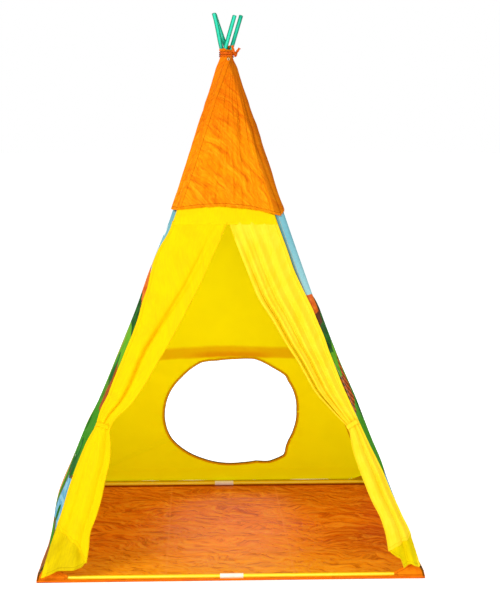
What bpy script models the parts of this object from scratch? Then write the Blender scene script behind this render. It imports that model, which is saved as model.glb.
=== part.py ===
"""Play teepee for children: four bowed poles, a base of rods and a sewn cover.

Metres, +Z up, the origin on the floor under the tie. The doorway looks along -Y.
Every pole is three tubes in two couplings, inside a sleeve at a corner of the cover.
The curtains are tied back to the front poles, and the window cover is rolled up.
"""
import math

import bmesh
import bpy
from mathutils import Vector

# Driving sizes of the frame
BASE_WIDTH = 1.0
TIE_HEIGHT = 1.365
POLE_RISE = 0.122
FOOT_INSET = 0.015
POLE_BOW = 0.020
TUBE_DIAMETER = 0.011
TUBE_WALL = 0.001
COUPLING_DIAMETER = 0.0134
COUPLING_LENGTH = 0.060
COUPLING_STOP = 0.003
BUTT_GAP = 0.0006

# Driving sizes of the cover
CLOTH = 0.0012
SLEEVE_WALL = 0.0010
SLEEVE_EASE = 0.0006
HEM_HEIGHT = 0.935
COLLAR_HEIGHT = 1.325
HEADER_HEIGHT = 0.040
HEADER_CLEARANCE = 0.002
SIDE_BILLOW = 0.046
FLARE_HEIGHT = 0.060
WALL_BOTTOM = 0.0165
WALL_FOOT_INSET = 0.0025

# Floor, lip and corner pockets
MAT_THICKNESS = 0.0015
LIP_THICKNESS = 0.0012
FRONT_LIP_HEIGHT = 0.0085
LIP_SLOPE_LENGTH = 0.020
WALL_LIP_HEIGHT = 0.0155
POCKET_INSET = 0.004
POCKET_REACH = 0.076
POCKET_CORNER_HEIGHT = 0.010
POCKET_HEIGHT = 0.045
POCKET_TOP_INSET = 0.0255
POCKET_END_HEIGHT = 0.022
POCKET_END_INSET = 0.006

# Round window in the back wall, with its rolled cover
WINDOW_X = 0.020
WINDOW_HEIGHT = 0.270
WINDOW_HALF_WIDTH = 0.211
WINDOW_HALF_RISE = 0.186
BINDING_REACH = 0.009
BINDING_EASE = 0.0006
ROLL_LENGTH = 0.500
ROLL_SEAM_HEIGHT = 0.520
ROLL_DROP = 0.045
ROLL_CORE = 0.007
ROLL_PITCH = 0.0026
ROLL_CLOTH = 0.0012
ROLL_OFFSET = 0.0035
ROLL_TIE_SPACING = 0.337
ROLL_TIE_WIDTH = 0.012

# Curtains and their tie-backs
CURTAIN_CENTRE_GAP = 0.0006
CURTAIN_OUTER_BOTTOM = 0.066
CURTAIN_INNER_BOTTOM = 0.040
CURTAIN_OVERHANG = 0.030
CURTAIN_FOLD = 0.012
CURTAIN_FORWARD = 0.0056
TIEBACK_HEIGHT = 0.375
TIEBACK_WIDTH = 0.018
TIEBACK_HALF_SPAN = 0.0215
TIEBACK_HALF_DEPTH = 0.0085
TIEBACK_CORNER = 0.006

# Tie at the crossing of the poles
TIE_POLE_OFFSET = 0.0086
TIE_CORD_DIAMETER = 0.0040
TIE_PITCH = 0.0049
TIE_EASE = 0.0032
KNOT_RADIUS = 0.0065
KNOT_SHIFT = 0.008
KNOT_TURN_DEGREES = -25.0
TAIL_LENGTH = 0.026
TAIL_WIDTH = 0.006
TAIL_THICKNESS = 0.0016
TAIL_BEND = 0.004

# Clearance between faces that touch on the real object
GAP = 0.0003

# Counts
TUBE_SIDES = 10
LEVELS_TO_TIE = 9
PANEL_COLUMNS = 4
CURTAIN_ROWS = 18
CURTAIN_COLUMNS = 20
CURTAIN_FOLDS = 2.5
WINDOW_SIDES = 36
ROLL_TURNS = 2.25
ROLL_STEPS = 12
TIE_TURNS = 3
TIE_CORNER_STEPS = 6
TAIL_STEPS = 4
STRAP_CORNER_STEPS = 3

# Heights of the pole joints, as shares of the tie's height, each halfway between two levels
POLE_JOINT_SHARES = (3.5 / LEVELS_TO_TIE, 6.5 / LEVELS_TO_TIE)

# Corner: side in X, side in Y, shift at the tie in X and Y, share of the rise above the tie
CORNER_SHARES = {
    "front_left": (-1, -1, 1.0, -1.0, 0.90),
    "front_right": (1, -1, 1.0, 1.0, 1.0),
    "back_right": (1, 1, -1.0, 1.0, 0.92),
    "back_left": (-1, 1, -1.0, -1.0, 0.86),
}
WALLS = {
    "front": ("front_left", "front_right"),
    "right": ("front_right", "back_right"),
    "back": ("back_right", "back_left"),
    "left": ("back_left", "front_left"),
}

# Free edge of a curtain, from the header down to the floor: share of the header's
# underside height, share of the half width of the front at that height
LEFT_EDGE_SHARES = (
    (1.0, 0.0), (0.91, 0.22), (0.82, 0.38), (0.66, 0.62), (0.55, 0.745), (0.475, 0.84),
    (0.435, 0.945), (0.40, 0.945), (0.37, 0.91), (0.33, 0.87), (0.25, 0.84), (0.15, 0.83), (0.0, 0.79),
)
RIGHT_EDGE_SHARES = (
    (1.0, 0.0), (0.91, 0.20), (0.79, 0.33), (0.65, 0.585), (0.51, 0.74), (0.475, 0.83),
    (0.435, 0.945), (0.40, 0.945), (0.37, 0.92), (0.34, 0.895), (0.25, 0.895), (0.15, 0.91), (0.0, 0.87),
)
# Height share against shares of the overhang, of the fold depth and of the push forward.
# On the left the curtain reaches round the pole, and on the right only below its tie-back.
LEFT_BODY_SHARES = (
    (1.0, 0.3, 0.0, 0.0), (0.95, 0.7, 0.05, 0.05), (0.85, 0.93, 0.15, 0.1), (0.62, 0.93, 0.80, 0.2),
    (0.50, 0.90, 0.75, 0.6), (0.44, 0.60, 0.36, 1.0), (0.39, 0.60, 0.36, 1.0),
    (0.33, 0.85, 0.70, 0.6), (0.15, 1.0, 0.85, 0.4), (0.0, 1.0, 0.68, 0.4),
)
RIGHT_BODY_SHARES = (
    (1.0, -0.40, 0.0, 0.0), (0.85, -0.33, 0.15, 0.1), (0.62, -0.20, 0.80, 0.2),
    (0.50, -0.12, 0.75, 0.6), (0.44, 0.20, 0.36, 0.86), (0.39, 0.20, 0.36, 0.86),
    (0.33, 0.40, 0.70, 0.6), (0.17, 1.0, 0.85, 0.4), (0.0, 1.0, 0.68, 0.4),
)

CURTAINS = {
    "left": (-1, "front_left", LEFT_EDGE_SHARES, LEFT_BODY_SHARES),
    "right": (1, "front_right", RIGHT_EDGE_SHARES, RIGHT_BODY_SHARES),
}

# Height share of the hem against the share of the billow, for each side wall
SIDE_SWELL_SHARES = {
    "left": (
        (1.0, 0.0), (0.80, 0.50), (0.68, 0.60), (0.50, 0.54), (0.38, 0.72), (0.27, 1.0),
        (0.17, 0.75), (0.064, 0.30), (0.0, 0.0),
    ),
    "right": (
        (1.0, 0.0), (0.80, 0.14), (0.55, 0.32), (0.48, 0.42), (0.25, 0.40), (0.10, 0.33),
        (0.064, 0.28), (0.0, 0.0),
    ),
}
# Share of a full turn against the share of the window's half width and half rise there
WINDOW_RIM_SHARES = (
    (1.0, 1.0), (0.944, 1.03), (0.911, 1.05), (0.878, 1.16), (0.856, 1.16), (0.822, 1.06),
    (0.778, 1.027), (0.681, 1.018), (0.583, 1.045), (0.486, 0.995), (0.389, 0.972), (0.322, 1.0),
    (0.264, 0.955), (0.194, 1.015), (0.144, 1.01), (0.108, 1.035), (0.0, 1.0),
)

TUBE_RADIUS = TUBE_DIAMETER / 2
COUPLING_RADIUS = COUPLING_DIAMETER / 2
SLEEVE_BORE = COUPLING_RADIUS + SLEEVE_EASE
SLEEVE_RADIUS = SLEEVE_BORE + SLEEVE_WALL
HALF_BASE = BASE_WIDTH / 2
FOOT = HALF_BASE - FOOT_INSET
WALL_SLOPE = (FOOT + 4 * POLE_BOW) / TIE_HEIGHT
SKIN_OUTSET = (SLEEVE_RADIUS + 2 * GAP + CLOTH / 2) * math.sqrt(1 + WALL_SLOPE ** 2)
CORNER_OUTSET = (SLEEVE_RADIUS + 2 * GAP + CLOTH) * math.sqrt(1 + 2 * WALL_SLOPE ** 2) / math.cos(math.pi / 8)
LEVEL_STEP = TIE_HEIGHT / LEVELS_TO_TIE
POCKET_FLOOR = MAT_THICKNESS + GAP
FOOT_HEIGHT = POCKET_FLOOR + CLOTH + GAP
ROD_HEIGHT = FOOT_HEIGHT + TUBE_RADIUS
POLE_FOOT_HEIGHT = FOOT_HEIGHT + TUBE_RADIUS * math.sin(math.atan(WALL_SLOPE * math.sqrt(2)))
SLEEVE_BOTTOM = POCKET_HEIGHT + COUPLING_RADIUS
CURTAIN_TOP = HEM_HEIGHT - HEADER_HEIGHT - HEADER_CLEARANCE
UP = Vector((0, 0, 1))


def clear_scene():
    for item in list(bpy.data.objects):
        bpy.data.objects.remove(item, do_unlink=True)


def make_material(name, colour, roughness, metallic=0.0):
    material = bpy.data.materials.new(name)
    material.use_nodes = True
    shader = material.node_tree.nodes["Principled BSDF"]
    shader.inputs["Base Color"].default_value = (*colour, 1.0)
    shader.inputs["Roughness"].default_value = roughness
    shader.inputs["Metallic"].default_value = metallic
    material.diffuse_color = (*colour, 1.0)
    return material


def finish(name, mesh_builder, material, origin=Vector((0, 0, 0)), smooth_degrees=35.0):
    """Turn a bmesh in world places into a named object with its origin at origin."""
    bmesh.ops.recalc_face_normals(mesh_builder, faces=mesh_builder.faces[:])
    bmesh.ops.translate(mesh_builder, verts=mesh_builder.verts[:], vec=-origin)
    mesh = bpy.data.meshes.new(name)
    mesh_builder.to_mesh(mesh)
    mesh_builder.free()
    mesh.materials.append(material)
    mesh.shade_smooth()
    mesh.set_sharp_from_angle(angle=math.radians(smooth_degrees))
    item = bpy.data.objects.new(name, mesh)
    item.location = origin
    bpy.context.scene.collection.objects.link(item)
    return item


def blend_table(table, share, column=1):
    """Read a table whose first column falls from 1 to 0, straight between its rows."""
    share = min(1.0, max(0.0, share))
    for upper, lower in zip(table, table[1:]):
        if share >= lower[0]:
            mix = (share - lower[0]) / (upper[0] - lower[0])
            return lower[column] + (upper[column] - lower[column]) * mix
    return table[-1][column]


# Lines of the poles

def pole_curve(corner, height):
    """Centre of a pole: bowed inwards up to the tie, straight on above it."""
    side_x, side_y, shift_x, shift_y, _ = CORNER_SHARES[corner]
    share = height / TIE_HEIGHT
    bow = POLE_BOW * 4 * share * (1 - share) if share < 1 else POLE_BOW * 4 * (1 - share)
    reach = FOOT * (1 - share) - bow
    return Vector((
        side_x * reach + shift_x * TIE_POLE_OFFSET * share,
        side_y * reach + shift_y * TIE_POLE_OFFSET * share,
        height,
    ))


def pole_point(corner, height):
    """The pole's centre line, straight between the levels that every piece shares."""
    level = math.floor(height / LEVEL_STEP + 1e-9)
    low = pole_curve(corner, level * LEVEL_STEP)
    high = pole_curve(corner, (level + 1) * LEVEL_STEP)
    return low.lerp(high, height / LEVEL_STEP - level)


def heights_between(bottom, top):
    """Bottom, the shared levels between, and top."""
    count = math.ceil((TIE_HEIGHT + POLE_RISE) / LEVEL_STEP) + 1
    inner = [i * LEVEL_STEP for i in range(count)]
    return [bottom, *[z for z in inner if bottom + GAP < z < top - GAP], top]


def with_midpoints(heights):
    halves = [(low + high) / 2 for low, high in zip(heights, heights[1:])]
    return sorted(heights + halves)


# Round sections

def section(centre, axis, radius, sides=TUBE_SIDES):
    """A ring of points square to the axis, turned alike on every piece of one line."""
    across = axis.cross(UP).normalized()
    up = across.cross(axis).normalized()
    turns = [2 * math.pi * i / sides for i in range(sides)]
    return [centre + (across * math.cos(a) + up * math.sin(a)) * radius for a in turns]


def add_loops(builder, loops, closed):
    """Join rings of points with quads; closed joins the last ring to the first."""
    rings = [[builder.verts.new(point) for point in loop] for loop in loops]
    pairs = list(zip(rings, rings[1:]))
    if closed:
        pairs.append((rings[-1], rings[0]))
    for first, second in pairs:
        for i in range(len(first)):
            j = (i + 1) % len(first)
            builder.faces.new((first[i], first[j], second[j], second[i]))
    return rings


def add_tube(builder, centres, outer, inner):
    """An open tube along a line of centres."""
    steps = [b - a for a, b in zip(centres, centres[1:])]
    axes = [steps[0], *[a.normalized() + b.normalized() for a, b in zip(steps, steps[1:])], steps[-1]]
    outside = [section(c, a.normalized(), outer) for c, a in zip(centres, axes)]
    inside = [section(c, a.normalized(), inner) for c, a in zip(centres, axes)]
    add_loops(builder, outside + inside[::-1], closed=True)


def add_coupling(builder, centre, axis):
    """A straight sleeve for two tube ends, with a stop rib between them."""
    bore = TUBE_RADIUS + GAP
    stop = TUBE_RADIUS - TUBE_WALL
    end, rib = COUPLING_LENGTH / 2, COUPLING_STOP / 2
    profile = (
        (-end, COUPLING_RADIUS), (end, COUPLING_RADIUS), (end, bore), (rib, bore),
        (rib, stop), (-rib, stop), (-rib, bore), (-end, bore),
    )
    add_loops(builder, [section(centre + axis * s, axis, r) for s, r in profile], closed=True)


def make_poles(tube_material, coupling_material):
    for corner, shares in CORNER_SHARES.items():
        joints = [TIE_HEIGHT * share for share in POLE_JOINT_SHARES]
        ends = [POLE_FOOT_HEIGHT, *joints, TIE_HEIGHT + POLE_RISE * shares[-1]]
        half_stop = COUPLING_STOP / 2 + BUTT_GAP
        for number, (low, high) in enumerate(zip(ends, ends[1:]), start=1):
            bottom = low + half_stop if number > 1 else low
            top = high - half_stop if high in joints else high
            builder = bmesh.new()
            centres = [pole_point(corner, z) for z in heights_between(bottom, top)]
            add_tube(builder, centres, TUBE_RADIUS, TUBE_RADIUS - TUBE_WALL)
            finish(f"pole_{corner}_tube_{number}", builder, tube_material)
        for number, height in enumerate(joints, start=1):
            builder = bmesh.new()
            rise = pole_point(corner, height + LEVEL_STEP / 4) - pole_point(corner, height - LEVEL_STEP / 4)
            add_coupling(builder, pole_point(corner, height), rise.normalized())
            finish(f"pole_{corner}_coupling_{number}", builder, coupling_material)


def make_base(rod_material, coupling_material):
    """Eight rods lie on the floor along its four edges, joined in the middle of each."""
    foot_reach = abs(pole_point("front_left", ROD_HEIGHT + TUBE_RADIUS).x)
    rod_end = foot_reach - TUBE_RADIUS * math.sqrt(1 + WALL_SLOPE ** 2) - BUTT_GAP
    half_stop = COUPLING_STOP / 2 + BUTT_GAP
    runs = {
        "front": (Vector((1, 0, 0)), Vector((0, -FOOT, ROD_HEIGHT))),
        "right": (Vector((0, 1, 0)), Vector((FOOT, 0, ROD_HEIGHT))),
        "back": (Vector((1, 0, 0)), Vector((0, FOOT, ROD_HEIGHT))),
        "left": (Vector((0, 1, 0)), Vector((-FOOT, 0, ROD_HEIGHT))),
    }
    for side, (axis, middle) in runs.items():
        for number, sign in enumerate((-1, 1), start=1):
            builder = bmesh.new()
            ends = [middle + axis * sign * half_stop, middle + axis * sign * rod_end]
            add_tube(builder, ends, TUBE_RADIUS, TUBE_RADIUS - TUBE_WALL)
            finish(f"base_{side}_rod_{number}", builder, rod_material)
        builder = bmesh.new()
        add_coupling(builder, middle, axis)
        finish(f"base_{side}_coupling", builder, coupling_material)


# Cloth

def add_sheet(builder, rows, thickness, ring=False):
    """A sheet of one thickness whose middle surface passes through rows of points.

    In a ring each row closes on itself.
    """
    height, width = len(rows), len(rows[0])
    front, back = [], []
    for i in range(height):
        front.append([])
        back.append([])
        for j in range(width):
            before, after = (j - 1, (j + 1) % width) if ring else (max(j - 1, 0), min(j + 1, width - 1))
            along = rows[min(i + 1, height - 1)][j] - rows[max(i - 1, 0)][j]
            across = rows[i][after] - rows[i][before]
            normal = across.cross(along).normalized() * (thickness / 2)
            front[i].append(builder.verts.new(rows[i][j] + normal))
            back[i].append(builder.verts.new(rows[i][j] - normal))
    pairs = [(j, (j + 1) % width) for j in range(width if ring else width - 1)]
    for i in range(height - 1):
        for j, k in pairs:
            for face in (front, back):
                builder.faces.new((face[i][j], face[i][k], face[i + 1][k], face[i + 1][j]))
        for j in () if ring else (0, width - 1):
            builder.faces.new((front[i][j], front[i + 1][j], back[i + 1][j], back[i][j]))
    for j, k in pairs:
        for i in (0, height - 1):
            builder.faces.new((front[i][j], front[i][k], back[i][k], back[i][j]))


def wall_point(wall, height, share, outset=SKIN_OUTSET):
    """A point of a wall at a height and a share of its width, outside the sleeves."""
    first, last = (pole_point(corner, height) for corner in WALLS[wall])
    outward = (last - first).cross(UP).normalized()
    return first.lerp(last, share) + outward * outset


def wall_rows(wall, bottom, top):
    """Rows of a wall between two heights. A side wall has more rows, and swells outwards."""
    heights = heights_between(bottom, top)
    swell_shares = SIDE_SWELL_SHARES.get(wall)
    if swell_shares:
        heights = with_midpoints(heights)
    rows = []
    for z in heights:
        swell = SIDE_BILLOW * blend_table(swell_shares, z / HEM_HEIGHT) if swell_shares else 0
        shares = [i / PANEL_COLUMNS for i in range(PANEL_COLUMNS + 1)]
        rows.append([
            wall_point(wall, z, s, SKIN_OUTSET + swell * math.sin(math.pi * s)) for s in shares
        ])
    return rows


def wall_foot_row(wall):
    """The lowest row of a wall, drawn out over the base rod to the floor's lip."""
    middle = wall_point(wall, FLARE_HEIGHT, 0.5, 0)
    outward = Vector((middle.x, middle.y, 0)).normalized()
    outward = Vector((round(outward.x), round(outward.y), 0))
    along = UP.cross(outward)
    reach = HALF_BASE - WALL_FOOT_INSET
    half = reach - SLEEVE_RADIUS
    shares = [2 * i / PANEL_COLUMNS - 1 for i in range(PANEL_COLUMNS + 1)]
    return [outward * reach + along * half * s + UP * WALL_BOTTOM for s in shares]


def make_walls(print_material, yellow_material):
    for side in ("left", "right"):
        builder = bmesh.new()
        rows = [wall_foot_row(side), *wall_rows(side, FLARE_HEIGHT, HEM_HEIGHT)]
        add_sheet(builder, rows, CLOTH)
        finish(f"side_panel_{side}", builder, print_material)
    builder = bmesh.new()
    add_sheet(builder, [wall_foot_row("back"), *wall_rows("back", FLARE_HEIGHT, HEM_HEIGHT)], CLOTH)
    back = finish("back_panel", builder, yellow_material)
    cutter = make_window_cutter()
    cut = back.modifiers.new("window", "BOOLEAN")
    cut.object = cutter
    cut.operation = "DIFFERENCE"
    cut.solver = "EXACT"
    builder = bmesh.new()
    add_sheet(builder, wall_rows("front", HEM_HEIGHT - HEADER_HEIGHT, HEM_HEIGHT), CLOTH)
    finish("door_header", builder, yellow_material)


def window_edge(turn, grow=0.0):
    """A point on the rim of the window, on the middle surface of the back wall.

    The cloth hangs from the roll, which pulls the round hole a little out of shape.
    """
    share = blend_table(WINDOW_RIM_SHARES, turn / (2 * math.pi) % 1)
    x = WINDOW_X + (WINDOW_HALF_WIDTH * share + grow) * math.cos(turn)
    z = WINDOW_HEIGHT + (WINDOW_HALF_RISE * share + grow) * math.sin(turn)
    right = wall_point("back", z, 0.0)
    left = wall_point("back", z, 1.0)
    return right.lerp(left, (right.x - x) / (right.x - left.x))


def make_window_cutter():
    builder = bmesh.new()
    turns = [2 * math.pi * i / WINDOW_SIDES for i in range(WINDOW_SIDES)]
    rim = [window_edge(turn) for turn in turns]
    loops = [[point + Vector((0, side * BINDING_REACH * 2, 0)) for point in rim] for side in (-1, 1)]
    rings = add_loops(builder, loops, closed=False)
    builder.faces.new(rings[0])
    builder.faces.new(rings[1])
    bmesh.ops.recalc_face_normals(builder, faces=builder.faces[:])
    mesh = bpy.data.meshes.new("window_cutter")
    builder.to_mesh(mesh)
    builder.free()
    cutter = bpy.data.objects.new("window_cutter", mesh)
    cutter.hide_render = True
    cutter.display_type = "WIRE"
    bpy.context.scene.collection.objects.link(cutter)
    return cutter


def make_window_binding(material):
    """A folded tape with a U section that takes the raw edge of the round hole."""
    builder = bmesh.new()
    inner_face = CLOTH / 2 + BINDING_EASE
    outer_face = inner_face + CLOTH
    profile = (
        (BINDING_REACH, inner_face), (BINDING_REACH, outer_face),
        (-2 * GAP - CLOTH, outer_face), (-2 * GAP - CLOTH, -outer_face),
        (BINDING_REACH, -outer_face), (BINDING_REACH, -inner_face),
        (-2 * GAP, -inner_face), (-2 * GAP, inner_face),
    )
    loops = []
    step = 2 * math.pi / WINDOW_SIDES
    for i in range(WINDOW_SIDES):
        rim = window_edge(i * step)
        before = (rim - window_edge((i - 1) * step)).normalized()
        after = (window_edge((i + 1) * step) - rim).normalized()
        along = (before + after).normalized()
        face = (rim - window_edge(i * step, -BINDING_REACH)).cross(along).normalized()
        outward = along.cross(face) / before.dot(along)
        loops.append([rim + outward * r + face * f for r, f in profile])
    add_loops(builder, loops, closed=True)
    finish("window_binding", builder, material)


def add_ribbon(builder, path, thickness, along):
    """A strip with a curved section in the YZ plane, drawn along its width both ways."""
    sides = ([], [])
    for i, point in enumerate(path):
        ahead = path[min(i + 1, len(path) - 1)] - path[max(i - 1, 0)]
        normal = Vector((0, -ahead.z, ahead.y)).normalized() * (thickness / 2)
        sides[0].append(point + normal)
        sides[1].append(point - normal)
    outline = sides[0] + sides[1][::-1]
    rings = add_loops(builder, [[p + along * way for p in outline] for way in (-1, 1)], closed=False)
    count = len(path)
    for ring in rings:
        for i in range(count - 1):
            j = 2 * count - 1 - i
            builder.faces.new((ring[i], ring[i + 1], ring[j - 1], ring[j]))


def window_line(height):
    """A point of the back wall's outer face above the middle of the window."""
    right = wall_point("back", height, 0.0)
    left = wall_point("back", height, 1.0)
    middle = right.lerp(left, (right.x - WINDOW_X) / (right.x - left.x))
    return middle + Vector((0, CLOTH / 2, 0))


def roll_frame():
    """Seam of the window cover, the roll's centre below it, its radius and its direction."""
    radius = ROLL_CORE + ROLL_PITCH * ROLL_TURNS
    seam = window_line(ROLL_SEAM_HEIGHT) + Vector((0, ROLL_OFFSET, 0))
    height = ROLL_SEAM_HEIGHT - ROLL_DROP
    centre = window_line(height) + Vector((0, ROLL_OFFSET + radius, 0))
    along = (wall_point("back", height, 0.0) - wall_point("back", height, 1.0)).normalized()
    return seam, centre, radius, along


def belt(centre, top, radius, top_radius):
    """A loop of points round a large circle and a small one above it, in the YZ plane."""
    way = top - centre
    lean = math.atan2(way.z, way.y)
    touch = math.acos((radius - top_radius) / way.length)
    points = []
    for i in range(ROLL_STEPS + 1):
        angle = lean + touch + (2 * math.pi - 2 * touch) * i / ROLL_STEPS
        points.append(centre + Vector((0, math.cos(angle), math.sin(angle))) * radius)
    for i in range(3):
        angle = lean - touch + touch * i
        points.append(top + Vector((0, math.cos(angle), math.sin(angle))) * top_radius)
    return points


def make_window_cover(material, tie_material):
    """The cover hangs from its seam, rolled up outside the wall, in two ties."""
    seam, centre, radius, along = roll_frame()
    path = []
    steps = int(ROLL_TURNS * ROLL_STEPS)
    for i in range(steps + 1):
        reach = ROLL_CORE + ROLL_PITCH * ROLL_TURNS * i / steps
        angle = math.pi + 2 * math.pi * (i - steps) / ROLL_STEPS
        path.append(centre + Vector((0, math.cos(angle), -math.sin(angle))) * reach)
    path.append(path[-1].lerp(seam, 1 / 3))
    path.append(seam)
    builder = bmesh.new()
    add_ribbon(builder, path, ROLL_CLOTH, along * ROLL_LENGTH / 2)
    finish("window_cover", builder, material, origin=seam)
    spacing = min((a - b).length for i, a in enumerate(path) for b in path[i + ROLL_STEPS // 2:])
    print("window cover, least gap to itself in mm:", round((spacing - ROLL_CLOTH) * 1000, 2))
    inside = radius + ROLL_CLOTH / 2 + GAP
    top_inside = ROLL_CLOTH / 2 + GAP
    for name, side in (("left", -1), ("right", 1)):
        builder = bmesh.new()
        shift = along * side * ROLL_TIE_SPACING / 2
        loops = []
        for grow, way in ((CLOTH, -1), (CLOTH, 1), (0, 1), (0, -1)):
            edge = along * way * ROLL_TIE_WIDTH / 2
            points = belt(centre, seam, inside + grow, top_inside + grow)
            loops.append([point + shift + edge for point in points])
        add_loops(builder, loops, closed=True)
        finish(f"window_cover_tie_{name}", builder, tie_material, origin=seam)


def make_cone(material):
    """The orange top of the cover: four walls and the round corners over the sleeves.

    The poles turn round each other faster near the tie, so its rows are closer.
    """
    rows = []
    for z in with_midpoints(heights_between(HEM_HEIGHT + GAP, COLLAR_HEIGHT)):
        row = []
        for wall, (_, corner) in WALLS.items():
            row += [wall_point(wall, z, i / PANEL_COLUMNS) for i in range(PANEL_COLUMNS + 1)]
            pole = pole_point(corner, z)
            outward = Vector((row[-1].x - pole.x, row[-1].y - pole.y, 0)).normalized()
            corner_way = (outward + UP.cross(outward)).normalized()
            row.append(pole + corner_way * CORNER_OUTSET)
        rows.append(row)
    builder = bmesh.new()
    add_sheet(builder, rows, CLOTH, ring=True)
    finish("cone_cover", builder, material)


def make_sleeves(material):
    for corner in CORNER_SHARES:
        builder = bmesh.new()
        centres = [pole_point(corner, z) for z in heights_between(SLEEVE_BOTTOM, COLLAR_HEIGHT)]
        add_tube(builder, centres, SLEEVE_RADIUS, SLEEVE_BORE)
        finish(f"corner_sleeve_{corner}", builder, material)


def add_box(builder, low, high):
    corners = [Vector((x, y, z)) for z in (low.z, high.z) for x in (low.x, high.x) for y in (low.y, high.y)]
    verts = [builder.verts.new(corner) for corner in corners]
    for face in ((0, 1, 3, 2), (4, 6, 7, 5), (0, 4, 5, 1), (2, 3, 7, 6), (0, 2, 6, 4), (1, 5, 7, 3)):
        builder.faces.new([verts[i] for i in face])


def make_floor(mat_material, lip_material):
    builder = bmesh.new()
    add_box(builder, Vector((-HALF_BASE, -HALF_BASE, 0)), Vector((HALF_BASE, HALF_BASE, MAT_THICKNESS)))
    finish("floor_mat", builder, mat_material)
    outer, inner = HALF_BASE, HALF_BASE - LIP_THICKNESS
    low = HALF_BASE - LIP_SLOPE_LENGTH
    stations = (
        (-1, -1, outer, inner, WALL_LIP_HEIGHT), (-1, -1, low, low, FRONT_LIP_HEIGHT),
        (1, -1, low, low, FRONT_LIP_HEIGHT), (1, -1, outer, inner, WALL_LIP_HEIGHT),
        (1, 1, outer, inner, WALL_LIP_HEIGHT), (-1, 1, outer, inner, WALL_LIP_HEIGHT),
    )
    loops = []
    for side_x, side_y, outer_x, inner_x, height in stations:
        outside = Vector((side_x * outer_x, side_y * outer, MAT_THICKNESS + GAP))
        inside = Vector((side_x * inner_x, side_y * inner, MAT_THICKNESS + GAP))
        rise = UP * (height - MAT_THICKNESS - GAP)
        loops.append([outside, outside + rise, inside + rise, inside])
    builder = bmesh.new()
    add_loops(builder, loops, closed=True)
    finish("floor_lip", builder, lip_material)


def make_pockets(material):
    """A cloth pocket in each corner of the floor takes a pole's foot and two rod ends."""
    outer = HALF_BASE - POCKET_INSET
    end = outer - POCKET_REACH
    top = HALF_BASE - POCKET_TOP_INSET
    lean = outer - POCKET_END_INSET
    for corner, shares in CORNER_SHARES.items():
        builder = bmesh.new()
        places = (
            (outer, outer, POCKET_FLOOR), (outer, outer, POCKET_CORNER_HEIGHT), (top, top, POCKET_HEIGHT),
            (end, outer, POCKET_FLOOR), (end, lean, POCKET_END_HEIGHT),
            (outer, end, POCKET_FLOOR), (lean, end, POCKET_END_HEIGHT),
        )
        verts = [builder.verts.new((x * shares[0], y * shares[1], z)) for x, y, z in places]
        faces = ((0, 3, 5), (0, 1, 3), (1, 4, 3), (1, 2, 4), (0, 5, 1), (1, 5, 6), (1, 6, 2))
        for face in faces:
            builder.faces.new([verts[i] for i in face])
        bmesh.ops.recalc_face_normals(builder, faces=builder.faces[:])
        inwards = Vector((-shares[0], -shares[1], 1)).normalized()
        middle_face = builder.faces[:][0]
        if middle_face.normal.dot(inwards) > 0:
            bmesh.ops.reverse_faces(builder, faces=builder.faces[:])
        mesh = bpy.data.meshes.new(f"corner_pocket_{corner}")
        builder.to_mesh(mesh)
        builder.free()
        mesh.materials.append(material)
        item = bpy.data.objects.new(mesh.name, mesh)
        bpy.context.scene.collection.objects.link(item)
        thicken = item.modifiers.new("cloth", "SOLIDIFY")
        thicken.thickness = CLOTH
        thicken.offset = -1
        thicken.use_even_offset = True


# Curtains

def front_face(x, height):
    """Y of the front plane outside the sleeves, which turns a little with the poles."""
    first, last = (pole_point(corner, height) for corner in WALLS["front"])
    return wall_point("front", height, (x - first.x) / (last.x - first.x)).y


def curtain_frame(name, height):
    """Outer and free edge in X, the depth of the folds and their push forward."""
    side, corner, edge_shares, body_shares = CURTAINS[name]
    height_share = height / CURTAIN_TOP
    pole = pole_point(corner, height)
    outer = pole.x + side * CURTAIN_OVERHANG * blend_table(body_shares, height_share, 1)
    free = side * max(CURTAIN_CENTRE_GAP / 2, abs(pole.x) * blend_table(edge_shares, height_share))
    depth = CURTAIN_FOLD * blend_table(body_shares, height_share, 2)
    forward = CURTAIN_FORWARD * blend_table(body_shares, height_share, 3)
    return outer, free, depth, forward + depth


def curtain_point(name, row_share, share):
    """A point of a curtain: row_share runs down from the header, share out from the pole."""
    bottom = CURTAIN_OUTER_BOTTOM + (CURTAIN_INNER_BOTTOM - CURTAIN_OUTER_BOTTOM) * share
    z = CURTAIN_TOP + (bottom - CURTAIN_TOP) * row_share
    outer, free, depth, forward = curtain_frame(name, z)
    x = outer + (free - outer) * share
    fold = depth * math.sin(2 * math.pi * CURTAIN_FOLDS * share)
    return Vector((x, front_face(x, z) - forward - fold, z))


def curtain_middle(name, height):
    """The middle of the gathered cloth at a height."""
    outer, free, _, forward = curtain_frame(name, height)
    x = (outer + free) / 2
    return Vector((x, front_face(x, height) - forward, height))


def hinge_line(corner):
    """Ends of the straight line along a front pole that a curtain swings about."""
    return pole_point(corner, SLEEVE_BOTTOM), pole_point(corner, HEM_HEIGHT)


def make_curtain(name, material, strap_material):
    origin = hinge_line(CURTAINS[name][1])[0]
    rows = []
    for i in range(CURTAIN_ROWS + 1):
        rows.append([curtain_point(name, i / CURTAIN_ROWS, j / CURTAIN_COLUMNS)
                     for j in range(CURTAIN_COLUMNS + 1)])
    builder = bmesh.new()
    add_sheet(builder, rows, CLOTH)
    finish(f"{name}_curtain", builder, material, origin=origin, smooth_degrees=80.0)
    builder = bmesh.new()
    add_tieback(builder, name)
    finish(f"{name}_tieback", builder, strap_material, origin=origin)


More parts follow.
